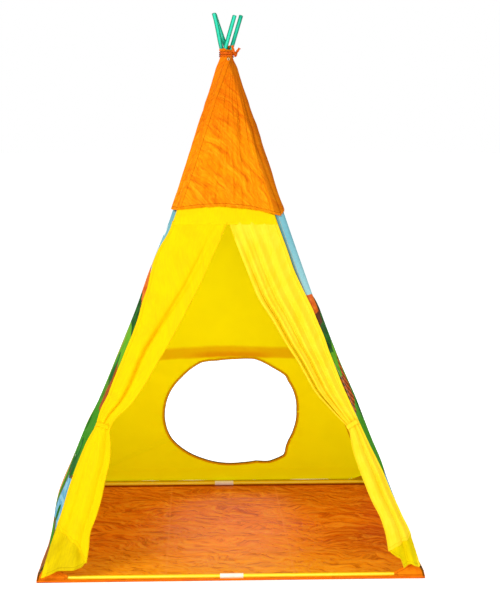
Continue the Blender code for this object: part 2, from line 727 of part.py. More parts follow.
def add_tieback(builder, name):
    """A closed strap around the gathered curtain, in front of the pole's sleeve."""
    middle = curtain_middle(name, TIEBACK_HEIGHT)
    slope = (curtain_middle(name, TIEBACK_HEIGHT + TIEBACK_WIDTH / 2)
             - curtain_middle(name, TIEBACK_HEIGHT - TIEBACK_WIDTH / 2)).normalized()
    right = (Vector((1, 0, 0)) - slope * slope.x).normalized()
    forward = right.cross(slope)
    loops = []
    for grow, lift in ((CLOTH, -1), (CLOTH, 1), (0, 1), (0, -1)):
        loop = []
        for quarter in range(4):
            sign_x, sign_y = ((1, 1), (-1, 1), (-1, -1), (1, -1))[quarter]
            for step in range(STRAP_CORNER_STEPS):
                angle = math.pi / 2 * (quarter + step / (STRAP_CORNER_STEPS - 1))
                across = sign_x * (TIEBACK_HALF_SPAN - TIEBACK_CORNER) + math.cos(angle) * (TIEBACK_CORNER + grow)
                out = sign_y * (TIEBACK_HALF_DEPTH - TIEBACK_CORNER) + math.sin(angle) * (TIEBACK_CORNER + grow)
                loop.append(middle + right * across + forward * out + slope * lift * TIEBACK_WIDTH / 2)
        loops.append(loop)
    add_loops(builder, loops, closed=True)


# Tie at the top

def make_tie(material):
    """Cord wound round the four poles where they cross, and its knot with two cut ends."""
    cord = TIE_CORD_DIAMETER / 2
    reach = TUBE_RADIUS + TIE_EASE + cord
    quarter_steps = TIE_CORNER_STEPS * 4
    points = []
    for i in range(TIE_TURNS * quarter_steps + 1):
        quarter, step = divmod(i % quarter_steps, TIE_CORNER_STEPS)
        angle = math.pi / 2 * (quarter + step / (TIE_CORNER_STEPS - 1))
        sign_x, sign_y = ((1, 1), (-1, 1), (-1, -1), (1, -1))[quarter]
        height = TIE_HEIGHT + TIE_PITCH * (i / quarter_steps - TIE_TURNS / 2)
        points.append(Vector((
            sign_x * TIE_POLE_OFFSET + math.cos(angle) * reach,
            sign_y * TIE_POLE_OFFSET + math.sin(angle) * reach,
            height,
        )))
    apart = [
        (a - b).length for i, a in enumerate(points) for b in points[i + quarter_steps // 2:]
    ]
    print("tie cord, least gap to itself in mm:", round((min(apart) - TIE_CORD_DIAMETER) * 1000, 2))
    curve = bpy.data.curves.new("apex_tie", "CURVE")
    curve.dimensions = "3D"
    curve.bevel_depth = cord
    curve.bevel_resolution = 1
    curve.use_fill_caps = True
    spline = curve.splines.new("POLY")
    spline.points.add(len(points) - 1)
    for spot, point in zip(spline.points, points):
        spot.co = (*point, 1)
    curve.materials.append(material)
    winding = bpy.data.objects.new("apex_tie", curve)
    bpy.context.scene.collection.objects.link(winding)
    make_knot(material, reach)


def make_knot(material, reach):
    turn = math.radians(KNOT_TURN_DEGREES)
    outward = Vector((math.cos(turn), math.sin(turn), 0))
    across = UP.cross(outward)
    distance = TIE_POLE_OFFSET + reach + TIE_CORD_DIAMETER / 2 + KNOT_RADIUS + GAP
    centre = Vector((distance, -KNOT_SHIFT, TIE_HEIGHT))
    builder = bmesh.new()
    bmesh.ops.create_icosphere(builder, subdivisions=2, radius=KNOT_RADIUS)
    bmesh.ops.translate(builder, verts=builder.verts[:], vec=centre)
    knot = finish("apex_knot", builder, material, smooth_degrees=60.0)
    for number, side in enumerate((-1, 1), start=1):
        builder = bmesh.new()
        rows = []
        for i in range(TAIL_STEPS + 1):
            share = i / TAIL_STEPS
            start = centre + across * side * KNOT_RADIUS / 2
            spine = start + (UP * 2 + across * side + outward * side / 2).normalized() * TAIL_LENGTH * share
            spine += outward * TAIL_BEND * share * share
            rows.append([spine - across * TAIL_WIDTH / 2, spine, spine + across * TAIL_WIDTH / 2])
        add_sheet(builder, rows, TAIL_THICKNESS)
        bmesh.ops.recalc_face_normals(builder, faces=builder.faces[:])
        mesh = bpy.data.meshes.new(f"tail_{number}")
        builder.to_mesh(mesh)
        builder.free()
        tail = bpy.data.objects.new(mesh.name, mesh)
        tail.hide_render = True
        tail.display_type = "WIRE"
        bpy.context.scene.collection.objects.link(tail)
        join = knot.modifiers.new(mesh.name, "BOOLEAN")
        join.object = tail
        join.operation = "UNION"
        join.solver = "EXACT"


def main():
    clear_scene()
    teal = make_material("teal_tube", (0.01, 0.55, 0.35), 0.35)
    yellow_rod = make_material("yellow_rod", (1.0, 0.72, 0.02), 0.4)
    white = make_material("white_coupling", (0.93, 0.90, 0.80), 0.4)
    yellow = make_material("yellow_cloth", (1.0, 0.82, 0.01), 0.8)
    orange = make_material("orange_cloth", (1.0, 0.25, 0.01), 0.8)
    floor = make_material("orange_satin", (0.85, 0.20, 0.02), 0.45)
    printed = make_material("printed_cloth", (0.35, 0.62, 0.30), 0.8)
    tie = make_material("tie_cord", (0.85, 0.13, 0.01), 0.8)
    make_poles(teal, white)
    make_base(yellow_rod, white)
    make_floor(floor, floor)
    make_pockets(orange)
    make_sleeves(printed)
    make_walls(printed, yellow)
    make_window_binding(orange)
    make_window_cover(orange, orange)
    make_cone(orange)
    for name in CURTAINS:
        make_curtain(name, yellow, yellow)
    make_tie(tie)


main()
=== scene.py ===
"""Play teepee for children, dressed as it stands in its photograph.

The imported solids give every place. The cloth, rods, pole tips and cord are made again here
with their folds, hems and stitches, and the printed sides get a plain landscape.
"""
from math import acos, atan2, copysign, cos, exp, pi, radians, sin, tau

import bmesh
import bpy
from mathutils import Matrix, Vector, noise


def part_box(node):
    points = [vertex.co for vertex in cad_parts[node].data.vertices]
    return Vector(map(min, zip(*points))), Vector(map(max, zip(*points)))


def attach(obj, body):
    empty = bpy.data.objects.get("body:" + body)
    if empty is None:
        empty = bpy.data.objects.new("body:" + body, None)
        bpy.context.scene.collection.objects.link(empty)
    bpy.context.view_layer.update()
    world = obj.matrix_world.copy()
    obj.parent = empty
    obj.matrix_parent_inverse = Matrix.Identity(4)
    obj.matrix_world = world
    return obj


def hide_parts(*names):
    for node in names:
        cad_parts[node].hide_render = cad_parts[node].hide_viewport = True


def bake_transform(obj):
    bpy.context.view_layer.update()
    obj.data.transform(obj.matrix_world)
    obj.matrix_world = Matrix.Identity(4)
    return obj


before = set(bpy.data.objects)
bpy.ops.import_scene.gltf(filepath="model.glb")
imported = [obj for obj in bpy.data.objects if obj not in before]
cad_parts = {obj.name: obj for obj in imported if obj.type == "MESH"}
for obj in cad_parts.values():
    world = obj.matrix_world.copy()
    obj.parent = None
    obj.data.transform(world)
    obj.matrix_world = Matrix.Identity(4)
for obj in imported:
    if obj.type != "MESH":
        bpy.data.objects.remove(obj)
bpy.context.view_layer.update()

# Sizes of the frame, as packed
TIE_HEIGHT = 1.365
POLE_RISE = 0.122
TOP_TUBE = TIE_HEIGHT * 6.5 / 9 + 0.0021  # where each pole's third tube starts
FOOT = 0.485  # a pole's place on the ground, in X and in Y
POLE_BOW = 0.020  # how far it bends inwards halfway up
CROSSING = 0.0086  # how far it passes the middle at the crossing
TUBE_RADIUS = 0.0055
TUBE_BORE = 0.0045
HALF_BASE = 0.5
LIP, LIP_FRONT = 0.0155, 0.0062
HEADER_BOTTOM = 0.8952
CURTAIN_TOP = 0.906
STRAP_HEIGHT = 0.375
SKIN = 0.0103  # from a pole's middle to the cloth over it
# A wall leaves the base tube at the height FLARE, and its foot lies at WALL_FOOT and WALL_BOTTOM
WALL_TOP, FLARE, WALL_BOTTOM = 0.933, 0.060, 0.0165
WALL_FOOT, HALF_FOOT = 0.4975, 0.489
WINDOW_X, WINDOW_Z, WINDOW_HALF, WINDOW_RISE = 0.020, 0.270, 0.211, 0.186
# The rolled cover: its sewn edge, its middle, the way along it and how far out its ties are
SEAM = Vector((0.02, 0.296267, 0.52))
ROLL = Vector((0.02, 0.325652, 0.475))
ALONG = Vector((0.99995, 0.010036, 0))
ROLL_TIES = 0.1685
UP = Vector((0, 0, 1))

# Of each pole: its side in X and Y, which way it passes the others in X and Y, rise over the crossing.
# Its tip stands closer than a straight pole's: lean in X and lowering at the tip, start in X.
CORNERS = {
    "front_left": (-1, -1, 1.0, -1.0, 0.90, (0.0, 0.0, 0.0)),
    "front_right": (1, -1, 1.0, 1.0, 1.0, (-0.0035, -0.007, -0.0035)),
    "back_right": (1, 1, -1.0, 1.0, 0.92, (0.0080, 0.0, -0.0010)),
    "back_left": (-1, 1, -1.0, -1.0, 0.86, (0.0, 0.0, 0.0)),
}
WALLS = {
    "front": ("front_left", "front_right"),
    "right": ("front_right", "back_right"),
    "back": ("back_right", "back_left"),
    "left": ("back_left", "front_left"),
}

# Tables of two columns are in thousandths, of a metre or of a share
# Lower edge of the orange cone along each wall: share of the wall, height
CONE_HEM = {
    "front": ((0, 935), (250, 943), (450, 945), (680, 938), (850, 926), (930, 917), (1000, 929)),
    "right": ((0, 929), (120, 932), (400, 934), (1000, 934)),
    "back": ((0, 934), (500, 929), (1000, 934)),
    "left": ((0, 934), (500, 930), (1000, 935)),
}
# How far the side walls swell at each height
SWELL = {
    "left": ((0, 0), (35, 14), (81, 31), (127, 42), (173, 39), (219, 37), (310, 37), (360, 28), (470, 24),
             (570, 18), (660, 14), (750, 14), (800, 12), (935, 0)),
    "right": ((0, 0), (35, 18), (81, 27), (173, 27), (219, 32), (270, 29), (400, 28), (500, 20), (620, 18),
              (665, 18), (690, 12), (715, 0), (750, -9), (860, -8), (910, -2), (935, 0)),
}
# Outer edge and free edge of each curtain: height, place in X
CURTAIN_OUTER = {
    "left": ((0, -492), (26, -488), (90, -468), (120, -458), (146, -447), (171, -438), (221, -424),
             (272, -406), (297, -396), (347, -374), (372, -356), (422, -342), (447, -326), (498, -307),
             (548, -285), (573, -276), (598, -264), (649, -245), (699, -232), (724, -221), (774, -211),
             (825, -194), (850, -179), (875, -162), (926, -146)),
    "right": ((0, 496), (34, 489), (107, 468), (120, 464), (146, 449), (171, 439), (196, 427), (221, 416),
              (246, 407), (272, 395), (322, 370), (372, 347), (422, 325), (472, 302), (523, 283),
              (573, 264), (598, 257), (649, 235), (674, 226), (699, 213), (724, 201), (774, 178),
              (825, 162), (875, 144), (915, 130)),
}
CURTAIN_FREE = {
    "left": ((0, -374), (42, -372), (89, -365), (122, -364), (151, -350), (199, -335), (235, -328),
             (295, -313), (336, -313), (375, -318), (404, -294), (427, -262), (489, -218), (531, -194),
             (587, -159), (642, -128), (734, -78), (818, -39), (897, -1)),
    "right": ((0, 412), (59, 407), (107, 401), (151, 388), (185, 368), (234, 349), (271, 335), (305, 324),
              (343, 317), (366, 316), (401, 278), (457, 225), (543, 177), (583, 149), (647, 113), (699, 78),
              (817, 32), (897, 1)),
}
# Lower hem of the upper layer and of the layer under it: share from the pole, height
CURTAIN_HEM = {
    "left": ((0, 138), (140, 128), (420, 108), (660, 93), (780, 78), (880, 61), (1000, 46)),
    "right": ((0, 104), (300, 92), (750, 76), (1000, 66)),
}
UNDER_HEM = {
    "left": ((0, 14), (120, 20), (350, 32), (700, 34), (1000, 40)),
    "right": ((0, 34), (80, 30), (320, 41), (580, 30), (640, 54), (1000, 64)),
}
# The left curtain's widest fold: height, share from the pole
LEFT_VALLEY = ((380, 480), (450, 560), (500, 540), (550, 470), (600, 510), (700, 700), (820, 820))
LEFT_CREST = ((380, 340), (500, 360), (600, 340), (700, 520), (820, 660))
# Depth of the folds, and how far the cloth stands out, at each height
FOLD_DEPTH = ((0, 6), (100, 9), (250, 10), (345, 7), (376, 5), (420, 8), (500, 12), (650, 12), (800, 9),
              (870, 5), (900, 1), (910, 0))
PUSH = ((0, 13), (100, 13), (250, 12), (376, 9.8), (500, 12.5), (650, 12), (800, 6), (870, 2), (892, 0.4),
        (910, 0))
# Share of a full turn against the share of the window's half width and half rise there
WINDOW_RIM = ((0, 1000), (64, 1012), (92, 1016), (105, 1042), (144, 1008), (194, 1018), (236, 959),
              (264, 952), (286, 955), (322, 1005), (350, 989), (389, 972), (486, 995), (583, 1045),
              (681, 1018), (778, 1027), (811, 1054), (836, 1155), (856, 1179), (872, 1200), (892, 1100),
              (908, 1062), (944, 1030), (1000, 1000))
# Folds above and below the tie-back: share from the pole, half width, height (forward is positive)
UPPER_FOLDS = {
    "left": ((0.93, 0.09, 0.45), (LEFT_VALLEY, 0.050, -1.25), (LEFT_CREST, 0.10, 0.55), (0.13, 0.08, -0.3)),
    "right": ((0.95, 0.04, 0.6), (0.87, 0.025, -1.1), (0.78, 0.045, 0.9), (0.63, 0.03, -0.9),
              (0.53, 0.05, 0.8), (0.40, 0.04, -0.5), (0.27, 0.06, 0.6), (0.12, 0.05, -0.3)),
}
LOWER_FOLDS = {
    "left": ((0.10, 0.10, 0.5), (0.34, 0.08, -0.5), (0.58, 0.12, 0.7), (0.80, 0.06, -0.5), (0.95, 0.06, 0.5)),
    "right": ((0.08, 0.08, -0.3), (0.24, 0.07, 0.6), (0.42, 0.05, -0.8), (0.64, 0.12, 0.9),
              (0.90, 0.06, -0.3)),
}


def mix(a, b, share):
    return a + (b - a) * share


def read(table, at):
    """A height or share read from a table that rises, straight between its rows."""
    at = min(max(at * 1000, table[0][0]), table[-1][0])
    for low, high in zip(table, table[1:]):
        if at <= high[0]:
            return mix(low[1], high[1], (at - low[0]) / (high[0] - low[0])) / 1000


def ease(table, at, reach=0.012):
    """The same table with its corners rounded."""
    return sum(read(table, at + step * reach) for step in (-1, -0.5, 0, 0.5, 1)) / 5


def ramp(low, high, at):
    share = min(1.0, max(0.0, (at - low) / (high - low)))
    return share * share * (3 - 2 * share)


def bell(at, width):
    """1 at nought, falling to nothing on both sides."""
    return exp(-(at / width) ** 2)


def ripple(point, scale, seed=0.0, stretch=(1, 1, 1)):
    """Even noise from -1 to 1 that is the same on each run."""
    place = Vector(a * b for a, b in zip(point, stretch)) * scale
    return noise.noise(place + Vector((seed, seed * 1.7, seed * 0.6)))


# Lines of the frame

def pole(corner, z):
    side_x, side_y, shift_x, shift_y = CORNERS[corner][:4]
    share = z / TIE_HEIGHT
    reach = FOOT * (1 - share) - POLE_BOW * 4 * min(share, 1) * (1 - share)
    shift = CROSSING * share
    return Vector((side_x * reach + shift_x * shift, side_y * reach + shift_y * shift, z))


def wall_at(wall, z, share, out=SKIN, wrap=0.0, turns=(45, 45)):
    """A place on a wall. The outermost columns turn round the pole's sleeve by turns degrees."""
    first, last = (pole(corner, z) for corner in WALLS[wall])
    along = (last - first).normalized()
    outward = along.cross(UP).normalized()
    for pole_at, way, near, turn in ((first, -1, share, turns[0]), (last, 1, 1 - share, turns[1])):
        if wrap and near < wrap:
            turn = (1 - near / wrap) * radians(turn)
            return pole_at + (outward * cos(turn) + along * (way * sin(turn))) * out
    return first.lerp(last, (share - wrap) / (1 - 2 * wrap)) + outward * out


def flare(z):
    """Share of the way up from a wall's foot to where it leaves the base tube."""
    return (z - WALL_BOTTOM) / (FLARE - WALL_BOTTOM)


def wall_foot(wall, share):
    """The foot of a wall, drawn out over the base tube to the floor's lip."""
    middle = wall_at(wall, FLARE, 0.5)
    outward = Vector((round(middle.x * 2), round(middle.y * 2), 0)).normalized()
    return outward * WALL_FOOT + UP.cross(outward) * HALF_FOOT * (2 * share - 1) + UP * WALL_BOTTOM


def front_y(x, z):
    first, last = (pole(corner, z) for corner in WALLS["front"])
    return wall_at("front", z, (x - first.x) / (last.x - first.x)).y


# Making pieces

def add_object(name, data):
    item = bpy.data.objects.new(name, data)
    bpy.context.scene.collection.objects.link(item)
    return item


def change(piece, name, kind, **settings):
    """Gives a piece a modifier."""
    modifier = piece.modifiers.new(name, kind)
    for key, value in settings.items():
        setattr(modifier, key, value)


def running(points):
    lengths = [0.0]
    for a, b in zip(points, points[1:]):
        lengths.append(lengths[-1] + (b - a).length)
    return lengths


def ways(points):
    """The way ahead at each point of a line."""
    last = len(points) - 1
    return [(points[min(i + 1, last)] - points[max(i - 1, 0)]).normalized() for i in range(last + 1)]


def cloth(name, columns, rows, place, *materials, thick=0.0009, round_off=False, smooth=180.0):
    """A sheet of cloth from a flat grid that place puts into its hung shape.

    Its UV maps are in metres: cut is the flat cut, hem the way to the nearest edges.
    round_off joins the edges that meet.
    """
    spots = [[place(j / columns, i / rows) for j in range(columns + 1)] for i in range(rows + 1)]
    across = [running(row) for row in spots]
    along = [running(column) for column in zip(*spots)]
    builder = bmesh.new()
    bmesh.ops.create_grid(builder, x_segments=columns, y_segments=rows, size=0.5)
    cut = builder.loops.layers.uv.new("cut")
    hem = builder.loops.layers.uv.new("hem")
    for vert in builder.verts:
        j, i = round((vert.co.x + 0.5) * columns), round((vert.co.y + 0.5) * rows)
        x, y, width, height = across[i][j], along[j][i], across[i][-1], along[j][-1]
        for loop in vert.link_loops:
            loop[cut].uv = (x - width / 2, y)
            loop[hem].uv = (min(x, width - x), min(y, height - y))
        vert.co = spots[i][j]
    if round_off:
        bmesh.ops.remove_doubles(builder, verts=builder.verts[:], dist=1e-6)
    mesh = bpy.data.meshes.new(name)
    builder.to_mesh(mesh)
    builder.free()
    for material in materials:
        mesh.materials.append(material)
    mesh.shade_smooth()
    if smooth < 180:
        mesh.set_sharp_from_angle(angle=radians(smooth))
    piece = add_object(name, mesh)
    if thick:
        change(piece, "cloth", "SOLIDIFY", thickness=thick, offset=-1, material_offset=len(materials) - 1)
    return piece


def tube(name, points, radius, bore, material, rim=0.0003):
    """An open tube drawn along a line, given its wall and soft rims."""
    last = len(points) - 1
    turns = [way.to_track_quat("Z", "Y") for way in ways(points)]

    def place(u, v):
        i = round(v * last)
        return points[i] + turns[i] @ Vector((cos(tau * u), sin(tau * u), 0)) * radius

    piece = cloth(name, 32, last, place, material, thick=0, round_off=True, smooth=50.0)
    change(piece, "wall", "SOLIDIFY", thickness=radius - bore, offset=-1, use_even_offset=True)
    change(piece, "rim", "BEVEL", width=rim, segments=2, limit_method="ANGLE", angle_limit=radians(50))
    return piece


def cord(name, points, radius, closed=False):
    """A laid cord along a line: three strands turn round it and show as ridges."""
    last = len(points) - 1
    lengths = running(points)
    lay = 0.011
    frames = []
    for axis in ways(points):
        side = frames[-1][0] if frames else axis.orthogonal().normalized()
        side = (side - axis * side.dot(axis)).normalized()
        frames.append((side, axis.cross(side)))

    def place(u, v):
        i = round(v * last)
        turn = tau * u
        ridge = abs(sin(1.5 * (turn - tau * lengths[i] / lay)))
        close = 0.35 if i in (0, last) and not closed else 1.0
        x, y = frames[i]
        return points[i] + (x * cos(turn) + y * sin(turn)) * (radius * (0.84 + 0.16 * ridge) * close)

    return cloth(name, 14, last, place, tie_cord, thick=0, round_off=True)


def ride(piece, body, *nodes, slot=None):
    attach(piece, body)
    if nodes:
        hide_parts(*nodes)


def hang(piece, node, slot, flat, rests_on="corner_sleeve_front_left", held="stretched", body="root",
         **more):
    """Attaches a piece of cloth for one node of the frame to its body and hides the node; its size laid flat
    and how it is held are not used.
    """
    ride(piece, body, node, slot=slot)


# Materials

def node(operation):
    """A sum of one or two values."""
    return lambda first, second=None: first.tree.calculate(operation, first, second)


class Value:
    """What a shader node puts out, so that a chain of nodes reads like a sum. a | b is the greater."""

    def __init__(self, tree, socket):
        self.tree, self.socket = tree, socket

    __add__ = node("ADD")
    __sub__ = node("SUBTRACT")
    __mul__ = node("MULTIPLY")
    __truediv__ = node("DIVIDE")
    __or__ = node("MAXIMUM")
    __abs__ = node("ABSOLUTE")
    sine = node("SINE")
    root = node("SQRT")

    def span(self, low, high, to_low=0.0, to_high=1.0, curve="SMOOTHSTEP"):
        values = dict(enumerate((self, low, high, to_low, to_high)))
        return self.tree.get(0, "MapRange", values, interpolation_type=curve)

    def fall(self, low, high):
        """1 up to low and 0 from high on."""
        return self.span(low, high, 1.0, 0.0)

    def between(self, first, second):
        return self.tree.mix(self, first, second)

    def paint(self, share, hue):
        """This colour with a share of another one over it."""
        return self.tree.mix(share, self, hue)

    def parts(self):
        return [Value(self.tree, out) for out in self.tree.add("SeparateXYZ", {0: self}).outputs]


class Tree:
    """Places shader nodes in a material or a world and joins them."""

    def __init__(self, tree):
        self.tree = tree

    def add(self, kind, values=None, **settings):
        item = self.tree.nodes.new("ShaderNode" + kind)
        for key, value in settings.items():
            setattr(item, key, value)
        for key, value in (values or {}).items():
            self.feed(item.inputs[key], value)
        return item

    def get(self, output, kind, values=None, **settings):
        return Value(self, self.add(kind, values, **settings).outputs[output])

    def feed(self, socket, value):
        if isinstance(value, Value):
            self.tree.links.new(value.socket, socket)
        elif value is not None:
            socket.default_value = value

    def calculate(self, operation, *values, clamp=False):
        return self.get(0, "Math", dict(enumerate(values)), operation=operation, use_clamp=clamp)

    def mix(self, share, first, second):
        first, second = (colour(hue) if isinstance(hue, int) else hue for hue in (first, second))
        return self.get(2, "Mix", {0: share, 6: first, 7: second}, data_type="RGBA")

    def noise(self, vector, scale, detail=3.0, rough=0.5, stretch=(1, 1, 1)):
        place = self.get(0, "Mapping", {"Vector": vector, "Scale": stretch})
        values = {"Vector": place, "Scale": scale, "Detail": detail, "Roughness": rough}
        return self.get("Fac", "TexNoise", values)

    def bent(self, place, scale, reach):
        bend = self.get("Color", "TexNoise", {"Vector": place, "Scale": scale, "Detail": 2.0})
        return self.get(0, "VectorMath", {0: bend, 1: reach, 2: place}, operation="MULTIPLY_ADD")

    def weave(self, place, thread=1400.0, crumple=0.4):
        """Thin plain weave: the height and the tone of crossing threads, slubs and a soft crumple. The
        crumple darkens the tone in its hollows as painted shade.
        """
        x, y, _ = place.parts()
        threads = (x * thread).sine() * (y * thread).sine()
        slubs = self.noise(place, 260.0, detail=2.0, stretch=(1, 0.12, 1))
        folds = self.noise(place, 22.0, detail=6.0, rough=0.62)
        height = threads * 0.045 + slubs * 0.1 + (folds + self.noise(place, 7.0)) * crumple
        return height, (slubs * 0.35 + folds * 0.65).span(0.3, 0.7)

    def wrinkle(self, tint, height, place, soft, dark, light, lift, *rows):
        """Pressed wrinkles, with painted shade on one side of each fold and a painted highlight on the other.

        Each row has its scale, stretch, shift and strength.
        """
        for scale, stretch, shift, share in rows:
            pulled = self.get(0, "Mapping", {"Vector": place, "Scale": stretch})
            ridges = []
            for vector in (pulled, self.get(0, "VectorMath", {0: pulled, 1: shift}, operation="ADD")):
                values = {"Vector": vector, "Scale": scale, "Detail": 4.0, "Roughness": 0.55}
                ridges.append(abs(self.get("Fac", "TexNoise", values) * 2.0 - 1.0))
            slope = (ridges[0] - ridges[1]) / soft
            facing = self.calculate("MULTIPLY_ADD", slope, 0.5, 0.5, clamp=True)
            tint = tint.paint(facing.span(0.5, 0.95, 0.0, share), dark)
            tint = tint.paint(facing.span(0.05, 0.5, share, 0.0), light)
            height = height + self.calculate("SUBTRACT", 1.0, ridges[0]) * lift
        return tint, height

    def stitches(self, way, run):
        """A row of stitches and the ridge of a turned hem, along the nearest edge of the cut."""
        dash = abs(self.calculate("FRACT", run / 0.0035) - 0.5).fall(0.3, 0.38)
        return abs(way - 0.008).fall(0.0004, 0.0009) * dash, way.fall(0.008, 0.0095)


def colour(hue):
    """A colour given as it looks on the screen: a byte each of red, green and blue."""
    def light(value):
        value /= 255
        return value / 12.92 if value <= 0.04045 else ((value + 0.055) / 1.055) ** 2.4
    return (*(light(value) for value in hue.to_bytes(3, "big")), 1.0)


class Material(Tree):
    def __init__(self, name):
        self.made = bpy.data.materials.new(name)
        self.made.use_nodes = True
        super().__init__(self.made.node_tree)

    def place(self):
        return self.get("Object", "TexCoord")

    def flat(self, name):
        return self.get(0, "UVMap", uv_map=name)

    def facing(self):
        return self.get("Facing", "LayerWeight", {"Blend": 0.5})

    def set(self, values):
        for key, value in values.items():
            self.feed(self.tree.nodes["Principled BSDF"].inputs[key], value)

    def emboss(self, strength, distance, height):
        lift = self.get(0, "Bump", {"Strength": strength, "Distance": distance, "Height": height})
        self.set({"Normal": lift})
        return self.made


def landscape(tree, place):
    """A plain landscape: sky, hills, a wood, a meadow with a path, bushes and two ponds."""
    x, y, _ = place.parts()

    def wave(rate, phase, height):
        return (x * rate + phase).sine() * height

    def below(line, *waves):
        for item in waves:
            line = item + line
        return (y - line).fall(-0.0012, 0.0012)

    def disc(cx, cy, radius, squash):
        across, up = x - cx, (y - cy) * squash
        return (up * up + across * across).root().fall(radius - 0.001, radius + 0.001)

    def discs(squash, *rows):
        whole = disc(*rows[0], squash)
        for row in rows[1:]:
            whole = whole | disc(*row, squash)
        return whole

    def pond(inner, top, bottom):
        return abs(x).span(inner, inner + 0.007) * (below(top, lapping) - below(bottom, lapping))

    blotch = tree.noise(place, 30.0)
    lapping = wave(23.0, 1.0, 0.012)
    treetops = abs(wave(62.0, 0.2, 1.0)) * 0.016
    meadow = below(0.635, wave(9.0, 0.0, 0.016))
    meadow_tone = y.span(0.34, 0.64).between(0x3a8e12, 0x68b21a)
    meadow_tone = meadow_tone.paint(blotch.span(0.45, 0.75, 0.0, 0.35), 0x267412)
    field = (below(0.565, wave(10.0, 2.4, 0.02)) - below(0.425, wave(8.0, 4.0, 0.024))) | 0.0
    furrow = ((y * 1.6 + x) * 170.0).sine().span(-0.3, 0.3)
    middle = (y * 11.0 + 0.6).sine() * 0.06
    width = y.span(0.1, 0.64, 0.05, 0.006, "LINEAR")
    path = (abs(x - middle) - width).fall(-0.001, 0.001) * meadow
    shore = pond(0.145, 0.218, 0.075)
    glints = tree.noise(place, 12.0, stretch=(1, 7, 1)).span(0.5, 0.56)

    picture = y.span(0.74, 1.0).between(0x9cced2, 0x70b2be)
    for mask, tone in (
        (discs(1.5, (-0.035, 0.912, 0.016), (-0.012, 0.92, 0.022), (0.016, 0.913, 0.016),
               (-0.085, 0.862, 0.014), (-0.066, 0.868, 0.018), (-0.045, 0.862, 0.013)), 0xf6faf8),
        (disc(0.045, 0.842, 0.03, 1.0), 0xffc43c),
        (below(0.795, wave(19.0, 0.8, 0.018), wave(41.0, 2.0, 0.005)),
         blotch.span(0.42, 0.58).between(0xd4580e, 0xe87a1e)),
        (below(0.742, wave(15.0, 3.6, 0.014), wave(33.0, 0.4, 0.004)), 0x5c3018),
        (below(0.708, wave(11.0, 1.2, 0.014), treetops),
         blotch.span(0.4, 0.6).between(0x08440e, 0x1a6a16)),
        (meadow, meadow_tone),
        (field * abs(x).span(0.15, 0.156), furrow.between(0x74320a, 0xce5c10)),
        (path, 0xd69654),
        (shore, 0x785428),
        (pond(0.158, 0.208, 0.088), glints.between(0x64a8c4, 0x8cc6d8)),
    ):
        picture = picture.paint(mask, tone)
    for cx, cy, size in ((-0.115, 0.6, 0.75), (0.12, 0.5, 1.0), (-0.13, 0.4, 1.2), (0.15, 0.225, 1.2)):
        trunk = abs(x - cx).fall(0.007 * size, 0.009 * size)
        trunk = trunk * y.span(cy - 0.075 * size, cy - 0.073 * size) * y.fall(cy, cy + 0.002)
        crown = discs(1.0, (cx, cy + 0.03 * size, 0.038 * size), (cx - 0.028 * size, cy, 0.028 * size),
                      (cx + 0.029 * size, cy + 0.004, 0.029 * size))
        shine = disc(cx - 0.01 * size, cy + 0.038 * size, 0.018 * size, 1.0)
        for mask, tone in ((trunk, 0x60341a), (crown, 0x166220), (shine, 0x388c2c)):
            picture = picture.paint(mask, tone)
    bushes = discs(1.25, (-0.19, 0.175, 0.026), (-0.155, 0.166, 0.03), (-0.115, 0.173, 0.02),
                   (0.045, 0.34, 0.02), (0.072, 0.333, 0.024), (0.27, 0.115, 0.03),
                   (-0.385, 0.115, 0.034), (-0.345, 0.105, 0.028), (0.41, 0.095, 0.034),
                   (0.375, 0.088, 0.026))
    cells = tree.add("TexVoronoi", {"Vector": place, "Scale": 26.0, "Randomness": 0.9}).outputs
    dots = Value(tree, cells["Distance"]).fall(0.09, 0.12)
    free = tree.calculate("SUBTRACT", 1.0, path | shore)
    chance = tree.get(0, "SeparateColor", {0: Value(tree, cells["Color"])}).span(0.5, 0.52)
    slope = y * 0.38 + abs(x)
    for mask, tone in (
        (bushes, 0x1c6a10),
        (dots * (below(0.39) * free), chance.between(0xe4462c, 0xfcecd6)),
        (below(0.062, wave(8.0, 2.2, 0.014)), 0x965624),
        (slope.span(0.478, 0.484) * y.fall(0.16, 0.2), 0x242c12),
    ):
        picture = picture.paint(mask, tone)
    return picture


def cloth_material(name, light, dark, thread, glow=0.0, crumple=0.4, bump=0.0012, hems=True, fade=None,
                   flat=False, wrinkled=False, under=None, over=None):
    """Thin woven cloth with its hems; glow is painted light, an emission for the light that comes through it.

    With fade it is printed, and the print is that much paler. under and over change its
    colour before and after the hems.
    """
    tree = Material(name)
    cut = tree.flat("cut")
    height, tone = tree.weave(tree.place() if flat else cut, crumple=crumple)
    tint = tone.between(dark, light)
    if fade is not None:
        tint = landscape(tree, cut).paint(tone * 0.05, 0xfaf0dc).paint(fade, light)
        tree.set({"IOR": 1.02})
    if wrinkled:
        # Painted shade and painted highlight on the pressed wrinkles.
        tint, height = tree.wrinkle(
            tint, height, tree.bent(cut, 7.0, (0.09, 0.12, 0)), 0.14, thread, 0xffb014, 0.5,
            (13.0, (1, 0.4, 1), (0.005, 0.0018, 0.0), 0.64),
            (27.0, (1, 0.62, 1), (0.0024, -0.0008, 0.0), 0.352))
    if under:
        tint = under(tree, tint)
    if hems:
        way, run = tree.flat("hem").parts(), cut.parts()
        ends, sides = tree.stitches(way[1], run[0]), tree.stitches(way[0], run[1])
        threads, turned = ends[0] | sides[0], ends[1] | sides[1]
        tint = tint.paint(turned * 0.35, dark).paint(threads * 0.7, thread)
        height = height + turned * 0.25 + threads * 0.35
    if over:
        tint = over(tree, tint)
    tree.set({"Base Color": tint, "Specular IOR Level": 0.05, "Roughness": tone.span(0.0, 1.0, 0.64, 0.78)})
    if glow:
        tree.set({"Emission Color": tint, "Emission Strength": glow})
    return tree.emboss(0.8, bump, height)


